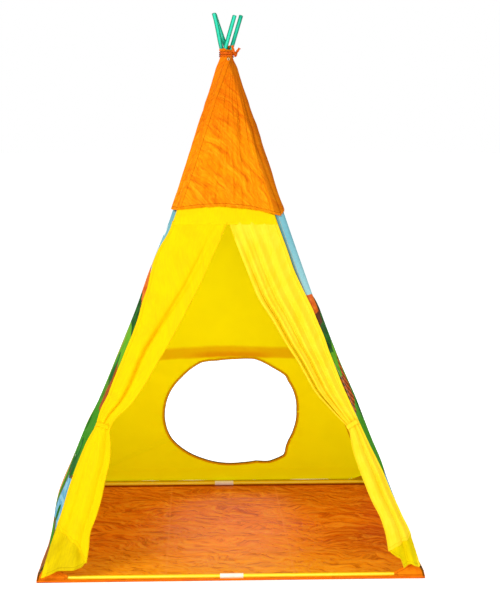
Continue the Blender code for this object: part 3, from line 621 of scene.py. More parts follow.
def cone_shading(tree, tint):
    """The cone is deeper in colour at its top, and its right face, turned from the light, gets painted shade.
    """
    x, y, z = tree.place().parts()
    turned_away = (z * 0.29 + (x - 0.3965)).span(-0.004, 0.003) * y.fall(-0.02, 0.02)
    tint = tint.paint(z.span(1.07, 1.27, 0.0, 0.46), 0xd85600)
    return tint.paint(turned_away * 0.7, 0xb05800)


def roll_shadow(tree, tint):
    """Painted shadow of the rolled cover outside, a dark band on the back wall, and painted shade deeper
    towards the wall's bottom.
    """
    place = tree.place()
    x, _, z = place.parts()
    z = z - tree.noise(place, 6.0) * 0.012
    aside = x - 0.02
    arch = z + aside * aside * 0.16
    band = arch.span(0.44, 0.452) * arch.fall(0.476, 0.492)
    band = band * (x.span(-0.236, -0.222) * x.fall(0.262, 0.276))
    near = abs(aside).fall(0.06, 0.16) * arch.fall(0.455, 0.474)
    tint = tint.paint(band * (near * 0.3 + 0.6), 0xce8800)
    # Painted shade, deeper towards the bottom of the wall.
    return tint.paint(z.span(0.02, 0.34, 0.5, 0.0), 0xced000)


def lip_foot(tree, tint):
    """The floor's lip is dark where it meets the ground."""
    return tint.paint(tree.place().parts()[2].fall(0.0018, 0.0026), 0x781000)


def tape_fold(tree, tint):
    """The tape's folded middle, painted dark as shade in the fold."""
    return tint.paint(tree.flat("hem").parts()[1].span(0.0056, 0.0066), 0x705c14)


def satin_material(name):
    """The shiny orange floor: fine crinkles that catch the light, with their light and shade painted into its
    colour, and pools of painted light and shade.
    """
    tree = Material(name)
    place = tree.place()
    x, y, _ = place.parts()
    swirl = tree.bent(place, 5.0, (0.22, 0.22, 0.0))
    creases = tree.noise(swirl, 9.0, stretch=(0.5, 1.3, 1))
    # Lighter on the crinkles' ridges: painted light.
    tint = creases.span(0.38, 0.66).between(0xe26200, 0xfa8200)
    # A painted reflection, a pale pool in the middle, and painted shade by the right curtain.
    for centre, wide, share, hue in (((0.0, -0.17, 0), 0.34, 0.55, 0xff9024),
                                     ((0.42, -0.16, 0), 0.2, 0.4, 0xb03c00)):
        far = tree.get(1, "VectorMath", {0: place, 1: centre}, operation="DISTANCE")
        tint = tint.paint(far.span(0.06, wide, share, 0.0), hue)
    # Painted shade towards the back and the right, and painted light at the front by the doorway.
    for mask, hue in ((y.span(0.0, 0.44, 0.0, 0.34), 0xba5000), (x.span(0.02, 0.4, 0.0, 0.16), 0xba5000),
                      (y.span(-0.47, -0.15, 0.8, 0.0), 0xff9e0e)):
        tint = tint.paint(mask, hue)
    # Painted light and shade on the sides of the crinkles.
    tint, height = tree.wrinkle(tint, creases * 1.2, swirl, 0.16, 0x9e2e00, 0xffa628, 0.6,
                                (13.0, (0.7, 1.0, 1), (0.06 / 13, 0.12 / 13, 0.0), 0.42),
                                (30.0, (0.8, 1.0, 1), (0.002, 0.004, 0.0), 0.36))
    # Painted highlight along two packing creases.
    for lit_crease in (-0.17, 0.165):
        tint = tint.paint(abs(x - lit_crease).span(0.001, 0.004, 0.3, 0.0), 0xfa963c)
    # Painted shade along the edges, under the base tubes.
    tint = tint.paint(y.span(0.462, 0.478, 0.0, 0.8) | abs(x).span(0.462, 0.478, 0.0, 0.6), 0x741c00)
    # The floor glows a little: painted light.
    tree.set({"Base Color": tint, "Emission Color": tint, "Emission Strength": 0.22,
              "Roughness": creases.span(0.3, 0.7, 0.36, 0.48), "Specular IOR Level": 0.04})
    return tree.emboss(1.0, 0.0045, height + tree.weave(place, 1700.0, 0.6)[0] * 0.2)


def plastic_material(name, light, dark, edge, painted_highlight=None, roughness=0.38, streak=(1, 1, 0.06), coat=0.2,
                     glow=0.0):
    """Drawn plastic tube: faint lines along it, small scuffs and a soft gloss, with a painted highlight down
    its middle, painted shade at its edges and, with glow, painted light.
    """
    tree = Material(name)
    lines = tree.noise(tree.place(), 420.0, detail=2.0, stretch=streak)
    scuffs = tree.noise(tree.place(), 70.0, detail=6.0, rough=0.7)
    facing = tree.facing()
    tint = scuffs.span(0.35, 0.65).between(dark, light)
    if painted_highlight:
        # Painted highlight down the tube's middle.
        tint = tint.paint(facing.span(0.04, 0.22, 0.85, 0.0), painted_highlight)
    # Painted shade towards the tube's edges.
    tint = tint.paint(facing.span(0.3, 0.72, 0.0, 0.95), edge)
    tree.set({"Base Color": tint, "Emission Color": tint, "Emission Strength": glow,
              "Specular IOR Level": 0.12 if painted_highlight else 0.3, "Coat Weight": coat, "Coat Roughness": 0.2,
              "Roughness": scuffs.span(0.48, 0.72, 0.0, 0.16) + roughness})
    return tree.emboss(0.25, 0.0003, lines * 0.5 + scuffs)


def cord_material(name, light, dark):
    """Laid cord: fibres run with the strands, with painted shade in the darker valleys and at its edges."""
    tree = Material(name)
    cut = tree.flat("cut")
    fibres = tree.noise(cut, 900.0, stretch=(1, 0.3, 1))
    tint = fibres.span(0.35, 0.65).between(dark, light)
    # Painted shade at the cord's edges.
    tint = tint.paint(tree.facing().span(0.35, 0.8, 0.0, 0.9), 0x781a00)
    tree.set({"Base Color": tint, "Specular IOR Level": 0.1,
              "Roughness": tree.noise(cut, 120.0).span(0.3, 0.7, 0.7, 0.9)})
    return tree.emboss(0.6, 0.0004, fibres)


def brass_material(name):
    tree = Material(name)
    haze = tree.noise(tree.place(), 300.0, detail=4.0)
    tree.set({"Base Color": haze.span(0.3, 0.7).between(0xaaa060, 0xe2dcaa),
              "Metallic": 0.9, "Roughness": haze.span(0.3, 0.7, 0.25, 0.45)})
    return tree.made


# Colour of the cloth in light, in the painted shade of its hollows, and of its thread
PLAIN_YELLOW = (0xffd400, 0xf6c600, 0xe8b800)
yellow = cloth_material("yellow_cloth", *PLAIN_YELLOW, glow=0.03)
yellow_plain = cloth_material("yellow_cloth_plain", *PLAIN_YELLOW, glow=0.03, hems=False)
# The lit, shaded and inside copies are the same yellow cloth, painted lighter where light falls on it and
# darker where it lies in shade.
yellow_lit = cloth_material("yellow_cloth_lit", 0xffdc32, 0xfad11a, 0xecbe00, glow=0.06)
yellow_shaded = cloth_material("yellow_cloth_shaded", 0xe6ca00, 0xd0b200, 0xc09800, glow=0.04)
yellow_inside_shade = cloth_material("yellow_cloth_inside_shade", 0xecd400, 0xdcc000, 0xccaa00, glow=0.05)
# The back wall's inner face glows strongly: painted light through the cloth, with the roll's painted shadow
# over it.
yellow_back = cloth_material("yellow_back_wall", 0xeee600, 0xe4db00, 0xd8c800, glow=0.46, crumple=0.5,
                             bump=0.0014, flat=True, over=roll_shadow)
orange = cloth_material("orange_cloth", 0xfc8e0a, 0xe47002, 0xc85400, glow=0.02, crumple=0.55, bump=0.0024)
cone_orange = cloth_material("orange_cone", 0xff9a02, 0xf07e00, 0xcc5800, glow=0.03, crumple=0.7,
                             bump=0.004, wrinkled=True, under=cone_shading)
edge_cloth = cloth_material("orange_edge", 0xf67c0e, 0xe26204, 0xce5800, hems=False, over=lip_foot)
tape = cloth_material("orange_tape", 0xeebe00, 0xdaa400, 0xc47c00, glow=0.12, crumple=0.3,
                      bump=0.0008, hems=False, over=tape_fold)
printed = cloth_material("printed_cloth", 0xffffff, 0x283c14, 0xece0c8, crumple=0.45, fade=0.0)
printed_inside = cloth_material("printed_cloth_inside", 0xf4e296, 0x5a6432, 0xece0c8, fade=0.55, glow=0.05)
sleeve_cloth = cloth_material("sleeve_cloth", 0x787e1e, 0x3c4a14, 0x283210, crumple=0.3)
satin = satin_material("orange_satin")
teal = plastic_material("teal_tube", 0x00a880, 0x00926e, 0x004634, painted_highlight=0x38d4b0, roughness=0.2, coat=0.0)
rod_yellow = plastic_material("yellow_rod", 0xffda04, 0xf8c800, 0xeca400, painted_highlight=0xffec46, roughness=0.3,
                              streak=(0.06, 1, 1), glow=0.16)
white = plastic_material("white_coupling", 0xfffae8, 0xfaf0d6, 0xfaf0d6, glow=0.14)
tie_cord = cord_material("tie_cord", 0xf47610, 0xb03400)
brass = brass_material("eyelet_metal")


# Poles and base

def make_poles():
    for corner, (*_, rise, (lean, lower, start)) in CORNERS.items():
        high = TIE_HEIGHT + POLE_RISE * rise + lower
        points = [pole(corner, mix(TOP_TUBE, high, i / 24)) for i in range(25)]
        for point in points:
            point.x += lean * ramp(TIE_HEIGHT, high, point.z) + start * ramp(1.335, 1.375, point.z)
        tip = tube(f"pole_tip_{corner}", points, 0.0058, TUBE_BORE, teal)
        ride(tip, "root", f"pole_{corner}_tube_3", slot="teal_tube")
        for number in (1, 2):
            for kind, finish in (("tube", teal), ("coupling", white)):
                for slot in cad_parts[f"pole_{corner}_{kind}_{number}"].material_slots:
                    slot.material = finish


def make_base():
    for side in WALLS:
        axis = Vector((1, 0, 0)) if side in ("front", "back") else Vector((0, 1, 0))
        rod = (TUBE_RADIUS, TUBE_BORE, rod_yellow, 0.0003, "yellow_rod")
        joint = (0.0067, TUBE_RADIUS + 0.0003, white, 0.0006, "white_coupling")
        for name, node, (radius, bore, finish, rim, slot) in (
            (f"base_tube_{side}_1", f"base_{side}_rod_1", rod),
            (f"base_tube_{side}_2", f"base_{side}_rod_2", rod),
            (f"base_joint_{side}", f"base_{side}_coupling", joint),
        ):
            low, high = (Vector(corner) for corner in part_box(node))
            middle, reach = (low + high) / 2, axis * (high - low).dot(axis) / 2
            piece = tube(name, [middle - reach, middle, middle + reach], radius, bore, finish, rim)
            ride(piece, "root", node, slot=slot)


# Floor

def floor_height(x, y):
    """Creases of the floor cloth, calm under the tubes along its edges."""
    calm = ramp(0.025, 0.09, HALF_BASE - max(abs(x), abs(y)))
    place = (x, y, 0)
    long_creases = 1 - abs(ripple(place, 5.0, 3.0, (0.5, 2.2, 1)))
    small = 1 - abs(ripple(place, 17.0, 7.0, (0.6, 1.6, 1)))
    fine = ripple(place, 42.0, 2.0, (0.7, 1.3, 1))
    return 0.0012 + calm * (0.003 * long_creases ** 3 + 0.0016 * small ** 2 + 0.0005 * fine + 0.0006)


def make_floor():
    def place(u, v):
        x, y = (2 * u - 1) * 0.4992, (2 * v - 1) * 0.4992
        return Vector((x, y, floor_height(x, y)))

    hang(cloth("floor_cloth", 200, 200, place, satin, thick=0.0006), "floor_mat", "orange_satin",
         (1.0, 1.0), "the ground", "laid")

    def lip_place(u, v):
        spot, side = (u * 4) % 1, int(u * 4) % 4
        along = (2 * spot - 1) * 0.4994
        soft = ripple((along, side, 0), 14.0, 5.0)
        out = 0.4994 + 0.0006 * soft
        height = mix(LIP_FRONT, LIP, ramp(0.0, 0.03, (0, spot, 1, 1 - spot)[side]))
        x, y = ((along, -out), (out, along), (-along, out), (-out, -along))[side]
        return Vector((x, y, 0.0012 + v * (height - 0.0012 + 0.0007 * soft)))

    lip = cloth("floor_edge", 240, 6, lip_place, edge_cloth, yellow_inside_shade, thick=0.001, round_off=True)
    hang(lip, "floor_lip", "orange_satin", (4.0, 0.014), "floor_cloth")


def make_pockets():
    """A folded triangle of cloth over each corner, full where the pole and tubes go in."""
    outer, end, top = 0.4965, 0.42, 0.474
    for corner, (sign_x, sign_y, *_) in CORNERS.items():
        def place(u, v):
            if sign_x * sign_y > 0:
                u = 1 - u
            low = Vector((mix(end, outer, min(1, 2 * u)), mix(outer, end, max(0, 2 * u - 1)), 0.0022))
            half = abs(2 * u - 1)
            x, y = (mix(top, reach, half) for reach in (end, outer - 0.006))
            if u >= 0.5:
                x, y = y, x
            point = low.lerp(Vector((x, y, mix(0.046, 0.017, half ** 0.75))), v)
            away = Vector((point.x - top + 0.02, point.y - top + 0.02, 0)).normalized()
            bulge = 0.0045 * sin(pi * v) * (1 - half ** 3) + 0.001 * ripple(point, 60.0, 4.0)
            point += away * bulge
            return Vector((min(point.x, 0.4985) * sign_x, min(point.y, 0.4985) * sign_y, point.z))

        finish = orange if corner.startswith("front") else yellow_inside_shade
        pocket = cloth(f"corner_cloth_{corner}", 40, 14, place, finish, thick=0.001)
        hang(pocket, f"corner_pocket_{corner}", "orange_cloth", (0.15, 0.038), "floor_cloth")


# Walls

def make_side(side):
    """A printed wall. Its front edge reaches round the sleeve to the front of the tent."""
    swell, left = SWELL[side], side == "left"
    wrap = 0.0625
    turns, reach_in = ((45, 80), 0.0) if left else ((90, 45), 0.017)

    def place(u, v):
        z = mix(WALL_BOTTOM, read(CONE_HEM[side], u) + 0.001, v)
        flat = min(1, max(0, (u - wrap) / (1 - 2 * wrap)))
        middle = sin(pi * flat)
        to_door = 1 - (1 - u if left else u) / wrap
        inward = reach_in * max(0, to_door - 0.66) / 0.34 * ramp(0.46, 0.6, z)
        allowance = Vector((-1, 0.07, 0)) * inward
        if to_door > 0:
            turned = wrap * (1 - min(1, to_door / 0.66))
            u = 1 - turned if left else turned
        if z < FLARE:
            high = wall_at(side, FLARE, u, SKIN + read(swell, FLARE) * middle, wrap, turns)
            return wall_foot(side, flat).lerp(high, flare(z)) + allowance
        point = wall_at(side, z, u, SKIN + ease(swell, z, 0.02) * middle, wrap, turns)
        outward = Vector((point.x, point.y, 0)).normalized()
        slack = 0.0035 * ripple(point, 4.0, 11.0, (1, 1, 0.7))
        slack += 0.0012 * ripple(point, 15.0, 14.0, (1, 1, 0.5))
        groove = -0.003 * bell(min(flat, 1 - flat) - 0.07, 0.02)
        calm = ramp(FLARE, 0.12, z) * (0 < flat < 1)
        return point + outward * (middle ** 0.5 * slack + groove) * calm + allowance

    panel = cloth(f"side_cloth_{side}", 96, 96, place, printed, printed_inside)
    hang(panel, f"side_panel_{side}", "printed_cloth", (1.0, 1.0), area=0.68)


def back_at(x, z):
    """A place on the back wall under its X and height."""
    right, left = (pole(corner, max(z, FLARE)) for corner in WALLS["back"])
    outward = (left - right).cross(UP).normalized()
    y = (right.lerp(left, (right.x - x) / (right.x - left.x)) + outward * SKIN).y
    return Vector((x, mix(WALL_FOOT, y, min(1, flare(z))), z))


def window_rim(turn):
    share = turn / (tau) % 1
    reach = sum(read(WINDOW_RIM, (share + step) % 1) for step in (-0.004, 0, 0.004)) / 3
    return WINDOW_X + WINDOW_HALF * reach * cos(turn), WINDOW_Z + WINDOW_RISE * reach * sin(turn)


def make_back():
    """The back wall runs from the window's rim out to its seams, drawn up round the rim."""
    def edge(corner, z):
        return mix(HALF_FOOT * CORNERS[corner][0], pole(corner, max(z, FLARE)).x, min(1, flare(z)))

    left, right, low, top = "back_left", "back_right", WALL_BOTTOM, WALL_TOP
    outline = [(-HALF_FOOT, low)]
    for first, last, start, end, count in ((left, right, low, low, 56), (right, right, low, top, 64),
                                           (right, left, top, top, 20), (left, left, top, low, 64)):
        for i in range(1, count + 1):
            z = mix(start, end, i / count)
            outline.append((mix(edge(first, z), edge(last, z), i / count), z))
    columns = len(outline) - 1

    def place(u, v):
        x, z = outline[round(u * columns)]
        turn = atan2((z - WINDOW_Z) / WINDOW_RISE, (x - WINDOW_X) / WINDOW_HALF)
        rim_x, rim_z = window_rim(turn)
        part = v ** 1.25
        point = back_at(mix(rim_x, x, part), mix(rim_z, z, part))
        pucker = 0.0022 * sin(turn * 34 + 2 * sin(turn * 3)) * exp(-part / 0.1) * ramp(0, 0.02, v)
        slack = ripple(point, 5.0, 21.0) * 0.0032 + ripple(point, 16.0, 5.0, (1, 1, 1.6)) * 0.0012
        slack *= sin(pi * min(1, v)) ** 0.5
        roll = -0.003 * bell(point.z - 0.475, 0.018) * ramp(0.3, 0.2, abs(point.x - WINDOW_X))
        return point + Vector((0, pucker + slack + roll, 0))

    panel = cloth("back_cloth", columns, 30, place, yellow, yellow_back, round_off=True)
    hang(panel, "back_panel", "yellow_cloth", (1.0, 1.0), "corner_sleeve_back_left", area=0.55,
         with_pieces=[make_binding()])


def make_binding():
    """Folded tape round the window: a U section that puckers a little along the curve."""
    def place(u, v):
        turn = tau * u
        x, z = window_rim(turn)
        ahead, behind = window_rim(turn + 0.02), window_rim(turn - 0.02)
        along = Vector((ahead[0] - behind[0], 0, ahead[1] - behind[1])).normalized()
        way = (v - 0.5) * 2
        if abs(way) > 0.28:
            reach, face = 0.0066 * (abs(way) - 0.28) / 0.72, copysign(1, way)
        else:
            bend = way / 0.28 * pi / 2
            reach, face = -0.0016 * cos(bend), sin(bend)
        pucker = 1 + 0.16 * sin(turn * 61) * min(1, abs(way) * 1.4)
        slope = (back_at(x, z + 0.01) - back_at(x, z - 0.01)).normalized()
        up = Vector((along.z, -along.x * slope.y, -along.x * slope.z))
        normal = Vector((0, slope.z, -slope.y))
        return back_at(x, z) + up * (reach - 0.0006) + normal * (0.0024 * face * pucker - 0.0004)

    binding = cloth("window_tape", 360, 18, place, tape, thick=0.0008, round_off=True)
    ride(binding, "root", "window_binding", slot="orange_cloth")
    return binding


def make_cone():
    """The orange top: four faces sewn round the sleeves, drawn in by the tie, with a ruffle."""
    top = 1.386

    def place(u, v):
        side = min(3, int(u * 4 + 1e-9)) if u < 1 else 0
        share = u * 4 - side if u < 1 else 0.0
        wall = list(WALLS)[side]
        turn = tau * u
        around = Vector((cos(turn), sin(turn), 0))

        def crease(scale, seed, rise, size=3):
            return ripple((around.x * size, around.y * size, v * rise), scale, seed)

        right = ramp(0.08, 0.2, u) * ramp(0.42, 0.3, u)
        ragged = ramp(0.95, 1.0, v) * (0.005 * ripple(around * 1.7, 1.0, 4.0) + 0.012 * right - 0.008)
        z = mix(ease(CONE_HEM[wall], share, 0.02), top, v ** 0.92)
        neck = ramp(1.325, 1.352, z) * ramp(1.392, 1.374, z)
        out = mix(SKIN + 0.0024 * ramp(0.25, 0.0, v) + 0.0004, 0.0073, neck)
        point = wall_at(wall, min(z, 1.372), share, out, mix(0.06, 0.25, v ** 3))
        point.z = z
        outward = Vector((point.x, point.y, 0)).normalized()
        edge = min(share, 1 - share)
        sharp = 0.5 - abs(crease(4.5, 6.0, 0.8)) * 2.2
        cross = 0.4 - abs(crease(3.0, 8.0, 2.5, 2)) * 2.0
        shift = crease(3.2, 9.0, 0.35) * 0.0066 + crease(9.0, 2.0, 0.6) * 0.004
        shift = (shift + sharp * 0.0028 + cross * 0.0016) * ramp(0.0, 0.16, edge)
        shift += sin(pi * share) * 0.006 * sin(pi * min(1, 0.12 + v))
        shift -= 0.0045 * bell(edge - 0.115, 0.035) * (1 if wall != "front" else 0.2)
        if wall == "front":
            ridge = share - mix(0.915, 0.8, v)
            shift += 0.003 * bell(ridge, 0.025) - 0.005 * bell(ridge - 0.045, 0.022)
        width = abs(pole("front_right", z).x) * 2
        shift = max(shift, -0.001 - max(0, edge * width - 0.01) * 0.8) * ramp(1.352, 1.15, z)
        gather = ramp(1.3, 1.345, z) * 0.0009 * sin(turn * 17 + sin(u * 40)) * (1 - neck * 0.5)
        ruffle = ramp(1.374, top, z) * 0.003 * sin(turn * 9 + 2 * sin(u * 31))
        return point + outward * (shift + gather + ruffle) + UP * ragged

    cone = cloth("cone_cloth", 336, 110, place, cone_orange, thick=0.0008, round_off=True)
    hang(cone, "cone_cover", "orange_cloth", (1.2, 0.48), area=0.3)


def make_header():
    """The yellow band over the doorway, under the cone's hem."""
    def place(u, v):
        z = mix(HEADER_BOTTOM, ease(CONE_HEM["front"], u * 0.93, 0.02) + 0.003, v)
        point = wall_at("front", z, u * 0.885, SKIN + 0.0013 - 0.0002 * v, 0.06, (70, 0))
        return point + Vector((0, 0.0007 * ripple(point, 26.0, 8.0) * sin(pi * u), 0))

    band = cloth("door_band", 72, 8, place, yellow_plain, yellow_inside_shade)
    hang(band, "door_header", "yellow_cloth", (0.32, 0.048))


def make_sleeves():
    for corner, (sign_x, sign_y, *_) in CORNERS.items():
        def place(u, v):
            z = mix(0.052, 1.322, v)
            axis = (pole(corner, z + 0.02) - pole(corner, z - 0.02)).normalized()
            side = axis.cross(UP).normalized()
            turn = tau * u
            reach = ripple((cos(turn), sin(turn), z * 14), 1.6, sign_x + sign_y + 5) * 0.0005 + 0.0086
            return pole(corner, z) + (side * cos(turn) - side.cross(axis) * sin(turn)) * reach

        finish = sleeve_cloth if corner.startswith("front") else yellow_inside_shade
        sleeve = cloth(f"sleeve_{corner}", 24, 150, place, finish, round_off=True)
        hang(sleeve, f"corner_sleeve_{corner}", "printed_cloth", (0.055, 1.4), f"pole_{corner}_tube_1")


# Curtains

def folds(table, share, z):
    """Height of the folds at a share of the width. A fold's middle may itself move with the height."""
    return sum(height * bell(share - (ease(middle, z, 0.03) if isinstance(middle, tuple) else middle), width)
               for middle, width, height in table)


def curtain_at(side, share, z, back=0.0):
    sign = -1 if side == "left" else 1
    x = mix(ease(CURTAIN_OUTER[side], z, 0.014), ease(CURTAIN_FREE[side], z, 0.014), share)
    pleat = mix(folds(LOWER_FOLDS[side], share, z), folds(UPPER_FOLDS[side], share, z), ramp(0.34, 0.42, z))
    reach = x * sign - abs(pole(f"front_{side}", z).x)
    wrap = 0.012 * ramp(0.0, 0.034, reach) * ramp(1.0, 0.2, share)
    small = 0.0011 * ripple((x, z, 0), 24.0, 6.0, (1.4, 0.5, 1))
    small += 0.0022 * ripple((x, z, 0), 8.0, 1.0, (1.6, 0.5, 1))
    out = ease(PUSH, z, 0.02) + ease(FOLD_DEPTH, z, 0.02) * pleat * 0.8 + small * ramp(0.895, 0.8, z)
    out = max(out, 0.0012 * ramp(0.9, 0.87, z))
    return Vector((x, front_y(x, z) - out + wrap + back, z))


def make_curtain(side):
    """Half of the front, cut as wide as its side of the doorway.

    What the pulled-back curtain doesn't show is folded behind it: once back to the pole and
    once forward again. Its layers start at nothing under the header and grow towards the hem.
    """
    def place(u, v):
        run = u if side == "left" else 1 - u
        layer = (run > 0.5) + (run > 0.78)
        start, length = ((0, 0.5), (0.5, 0.28), (0.78, 0.22))[layer]
        part = (run - start) / length
        spare = ramp(0.88, 0.5, mix(0.05, CURTAIN_TOP, v))
        back_to = 0.97 * spare + 0.01
        share = (part, 1 - back_to * part, 1 - back_to + 0.8 * spare * part)[layer]
        upper, lower = ease(CURTAIN_HEM[side], share, 0.03), read(UNDER_HEM[side], share)
        wavy = 0.0012 * sin(share * 19 + 1) * ramp(0.1, 0.0, v)
        low = (upper + wavy, mix(upper, lower, ramp(0, 0.12, part)), mix(lower, lower + 0.02, part))[layer]
        z = mix(low, CURTAIN_TOP, v)
        deep = (0, ramp(0, 0.06, part), 1 + ramp(0, 0.15, part))[layer] * 0.0024 * ramp(0, 0.02, spare)
        over_pocket = -0.0115 * ramp(0.115, 0.045, z) * ramp(0.95, 0.7, share)
        soft = 0.0034 * sin(share * 13 + layer) * ramp(0.16, 0.03, z)
        below = ramp(-0.004, 0.024, upper - z) * (layer > 0)
        return curtain_at(side, share, z, deep + (over_pocket + soft) * below)

    # The right curtain takes the painted-light copy of the yellow; the inner faces take the painted-shade
    # copies.
    sign, finishes = (-1, (yellow, yellow_shaded)) if side == "left" else (1, (yellow_lit, yellow_inside_shade))
    sheet = cloth(f"{side}_curtain_cloth", 200, 190, place, *finishes)
    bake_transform(sheet)
    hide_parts(f"{side}_curtain")


def make_tieback(side):
    """The strap that holds the gathered curtain in front of its pole."""
    low, middle, high = (curtain_at(side, share, STRAP_HEIGHT) for share in (0, 0.5, 1))
    half = abs(high.x - low.x) / 2 - 0.0022
    middle = Vector(((low.x + high.x) / 2, middle.y + 0.0035, STRAP_HEIGHT))
    below, above = (curtain_at(side, 0.5, STRAP_HEIGHT + step) for step in (-0.02, 0.02))
    slope = (above - below).normalized()
    right = (Vector((1, 0, 0)) - slope * slope.x).normalized()
    forward = right.cross(slope)

    def place(u, v):
        turn = -tau * u
        across = half * copysign(abs(cos(turn)) ** 0.6, cos(turn))
        out = 0.0074 * copysign(abs(sin(turn)) ** 0.75, sin(turn))
        lift = (v - 0.5) * 0.0115 + 0.0018 * sin(turn)
        pinch = 1 - 0.03 * cos(v * tau) + 0.03 * sin(turn * 7)
        return middle + (right * across + forward * out) * pinch + slope * lift

    # The right strap takes the painted-light copy of the yellow.
    strap = cloth(f"{side}_strap", 60, 8, place, yellow if side == "left" else yellow_lit, round_off=True)
    hang(strap, f"{side}_tieback", "yellow_cloth", (0.092, 0.0145), f"{side}_curtain_cloth",
         body=f"{side}_curtain")


# Window cover

def make_window_cover():
    turns, steps, drop = 2.25, 90, SEAM - ROLL

    def on(centre, reach, angle):
        return centre + Vector((0, cos(angle), sin(angle))) * reach

    path = []
    for i in range(steps + 1):
        back = tau * turns * (1 - i / steps)
        path.append(on(Vector(), 0.007 + 0.0026 * turns * i / steps, back - pi))
    path += [path[-1].lerp(drop, i / 10) for i in range(1, 11)]

    def place(u, v):
        i = round(v * (len(path) - 1))
        spot, width = path[i], (u - 0.5) * 0.5
        pull = 1 - 0.05 * (bell(width + ROLL_TIES, 0.012) + bell(width - ROLL_TIES, 0.012))
        crease = 0.0006 * ripple((width, spot.y * 3, spot.z * 3), 22.0, 4.0, (0.5, 1, 1)) * (i <= steps)
        rolled = ramp(100, 91, i)
        sag = (0.0015 * cos(width * 9) - 0.0009) * rolled
        edge = ALONG * (width + 0.0012 * sin(i * 0.23) * (abs(u - 0.5) > 0.499))
        return ROLL + spot * mix(1, pull, rolled) + spot.normalized() * crease + edge + UP * sag

    roll = cloth("rolled_cover", 120, len(path) - 1, place, orange, thick=0.0008)
    hang(roll, "window_cover", "orange_cloth", (0.5, 0.2), "back_cloth", "folded", "window_cover")

    inside, small = 0.01375, 0.0013
    lean, touch = atan2(drop.z, drop.y), acos((inside - small) / drop.length)
    ends = [on(ROLL, inside, lean - touch), on(SEAM, small, lean - touch),
            on(SEAM, small, lean + touch), on(ROLL, inside, lean + touch)]
    centre = ROLL.lerp(SEAM, 0.4)
    for name, sign in (("left", -1), ("right", 1)):
        def tie_place(u, v):
            point = on(ROLL, inside, lean + touch + (tau - 2 * touch) * u / 0.62)
            part = (u - 0.62) / 0.38
            for low, high, a, b in zip((0, 0.46, 0.54), (0.46, 0.54, 1), ends, ends[1:]):
                if part >= low:
                    point = a.lerp(b, (part - low) / (high - low))
            away = Vector((0, point.y - centre.y, point.z - centre.z)).normalized()
            lift = 0.0006 + 0.0004 * sin(u * 90)
            return point + away * lift + ALONG * (sign * ROLL_TIES + (v - 0.5) * 0.012)

        belt = cloth(f"cover_tie_{name}", 90, 6, tie_place, tape, thick=0.0008, round_off=True)
        hang(belt, f"window_cover_tie_{name}", "orange_cloth", (0.17, 0.012), "rolled_cover",
             body="window_cover")


# Tie at the crossing

def make_tie():
    radius, turns, steps = 0.002, 3, 48
    points = []
    for i in range(turns * steps + 1):
        angle = tau * i / steps
        z = TIE_HEIGHT + 0.0047 * (i / steps - turns / 2) + 0.001 * sin(angle + i * 0.045)
        x, y = (CROSSING * copysign(min(1, abs(way) * 1.35), way) + way * (TUBE_RADIUS + 0.0032 + radius)
                for way in (cos(angle), sin(angle)))
        points.append(Vector((x, y, z + 0.0004 * sin(angle * 2 + i * 0.02))))
    ride(cord("tie_winding", points, radius), "root", "apex_tie", slot="tie_cord")

    centre = Vector((0.024, -0.0135, TIE_HEIGHT))
    loop = []
    for i in range(121):
        t = tau * i / 120
        spot = Vector((sin(t) + 2 * sin(2 * t), cos(t) - 2 * cos(2 * t), -1.5 * sin(3 * t)))
        loop.append(centre + Matrix.Rotation(radians(70), 3, "Y") @ spot * 0.002)
    ride(cord("tie_knot", loop, 0.0021, closed=True), "root", "apex_knot", slot="tie_cord")

    turn = radians(-25)
    outward = Vector((cos(turn), sin(turn), 0))
    across = UP.cross(outward)
    for number, side, length in ((1, -1, 0.026), (2, 1, 0.02)):
        way = (UP * 2.4 + across * side * 0.5 + Vector((0.9 * side + 0.1, 0, 0))).normalized()
        flat = Vector((way.z, 0, -way.x)).normalized()

        def place(u, v):
            spine = centre + across * side * 0.003 + way * length * v + outward * 0.003 * v * v
            curl = 0.0012 * sin(pi * u) * (1 - v) + 0.0008 * sin(v * 9 + side)
            return spine + flat * (u - 0.5) * (0.007 + 0.0008 * sin(v * 14)) + Vector((0, -curl, 0))

        tail = cloth(f"tie_end_{number}", 12, 30, place, tie_cord, thick=0.0014)
        ride(tail, "root", slot="tie_cord")


def make_eyelet():
    """A small metal eyelet in the gathered top of the cone."""
    lean = Matrix.Translation((0.005, -0.0218, 1.3515)) @ Matrix.Rotation(radians(80), 4, "X")

    def place(u, v):
        around, across = tau * u, tau * (v + 0.25)
        reach = 0.003 + 0.001 * cos(across)
        return lean @ Vector((cos(around) * reach, sin(around) * reach, 0.001 * sin(across)))

    ride(cloth("collar_eyelet", 40, 14, place, brass, thick=0, round_off=True), "root")


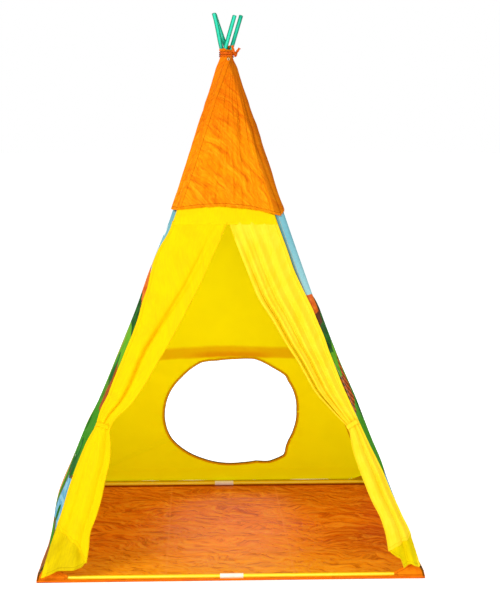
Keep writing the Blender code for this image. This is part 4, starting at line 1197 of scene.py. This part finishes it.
# Studio

def make_studio():
    ground = Material("studio_floor")
    tone = ground.noise(ground.place(), 0.8)
    ground.set({"Base Color": tone.between((0.92, 0.92, 0.92, 1), (0.94, 0.94, 0.94, 1)), "Roughness": 0.9,
                "Emission Color": (1, 1, 1, 1), "Emission Strength": 0.56})
    cloth("studio_floor", 8, 8, lambda u, v: Vector((300 * u - 150, 300 * v - 150, 0)),
                   ground.made, thick=0)

    scene = bpy.context.scene
    scene.world = bpy.data.worlds.new("studio")
    scene.world.use_nodes = True
    scene.world.node_tree.nodes.clear()
    tree = Tree(scene.world.node_tree)
    lit, seen = (tree.get(0, "Background", {"Color": (1, 1, 1, 1), "Strength": strength})
                 for strength in (0.52, 1.0))
    camera_ray = tree.get("Is Camera Ray", "LightPath")
    tree.add("OutputWorld", {0: tree.get(0, "MixShader", {0: camera_ray, 1: lit, 2: seen})})

    for name, place, aim, size, power in (
        ("key", (-2.8, -3.4, 3.2), (0, 0, 0.6), 1.8, 105),
        ("fill", (3.4, -2.6, 2.2), (0, 0, 0.5), 2.8, 14),
        ("door", (0.4, -4.6, 1.0), (0, 0.4, 0.3), 1.6, 26),
        ("back", (0.4, 3.4, 3.0), (0, 0, 0.7), 2.6, 60),
    ):
        light = bpy.data.lights.new(name, "AREA")
        light.size, light.energy = size, power
        item = add_object(name, light)
        item.location = place
        item.rotation_euler = (Vector(aim) - Vector(place)).to_track_quat("-Z", "Y").to_euler()

    lens = bpy.data.cameras.new("photograph")
    lens.lens, lens.sensor_width = 82.04, 36.0
    scene.camera = add_object("photograph", lens)
    scene.camera.location = (-0.0856, -3.8996, 1.116)
    scene.camera.rotation_euler = (radians(83.48), 0, radians(-2.229))
    scene.view_settings.view_transform = "Standard"


make_studio()
make_poles()
make_base()
make_floor()
make_pockets()
make_sleeves()
make_side("left")
make_side("right")
make_back()
make_cone()
make_header()
for side_name in ("left", "right"):
    make_curtain(side_name)
    make_tieback(side_name)
make_window_cover()
make_tie()
make_eyelet()
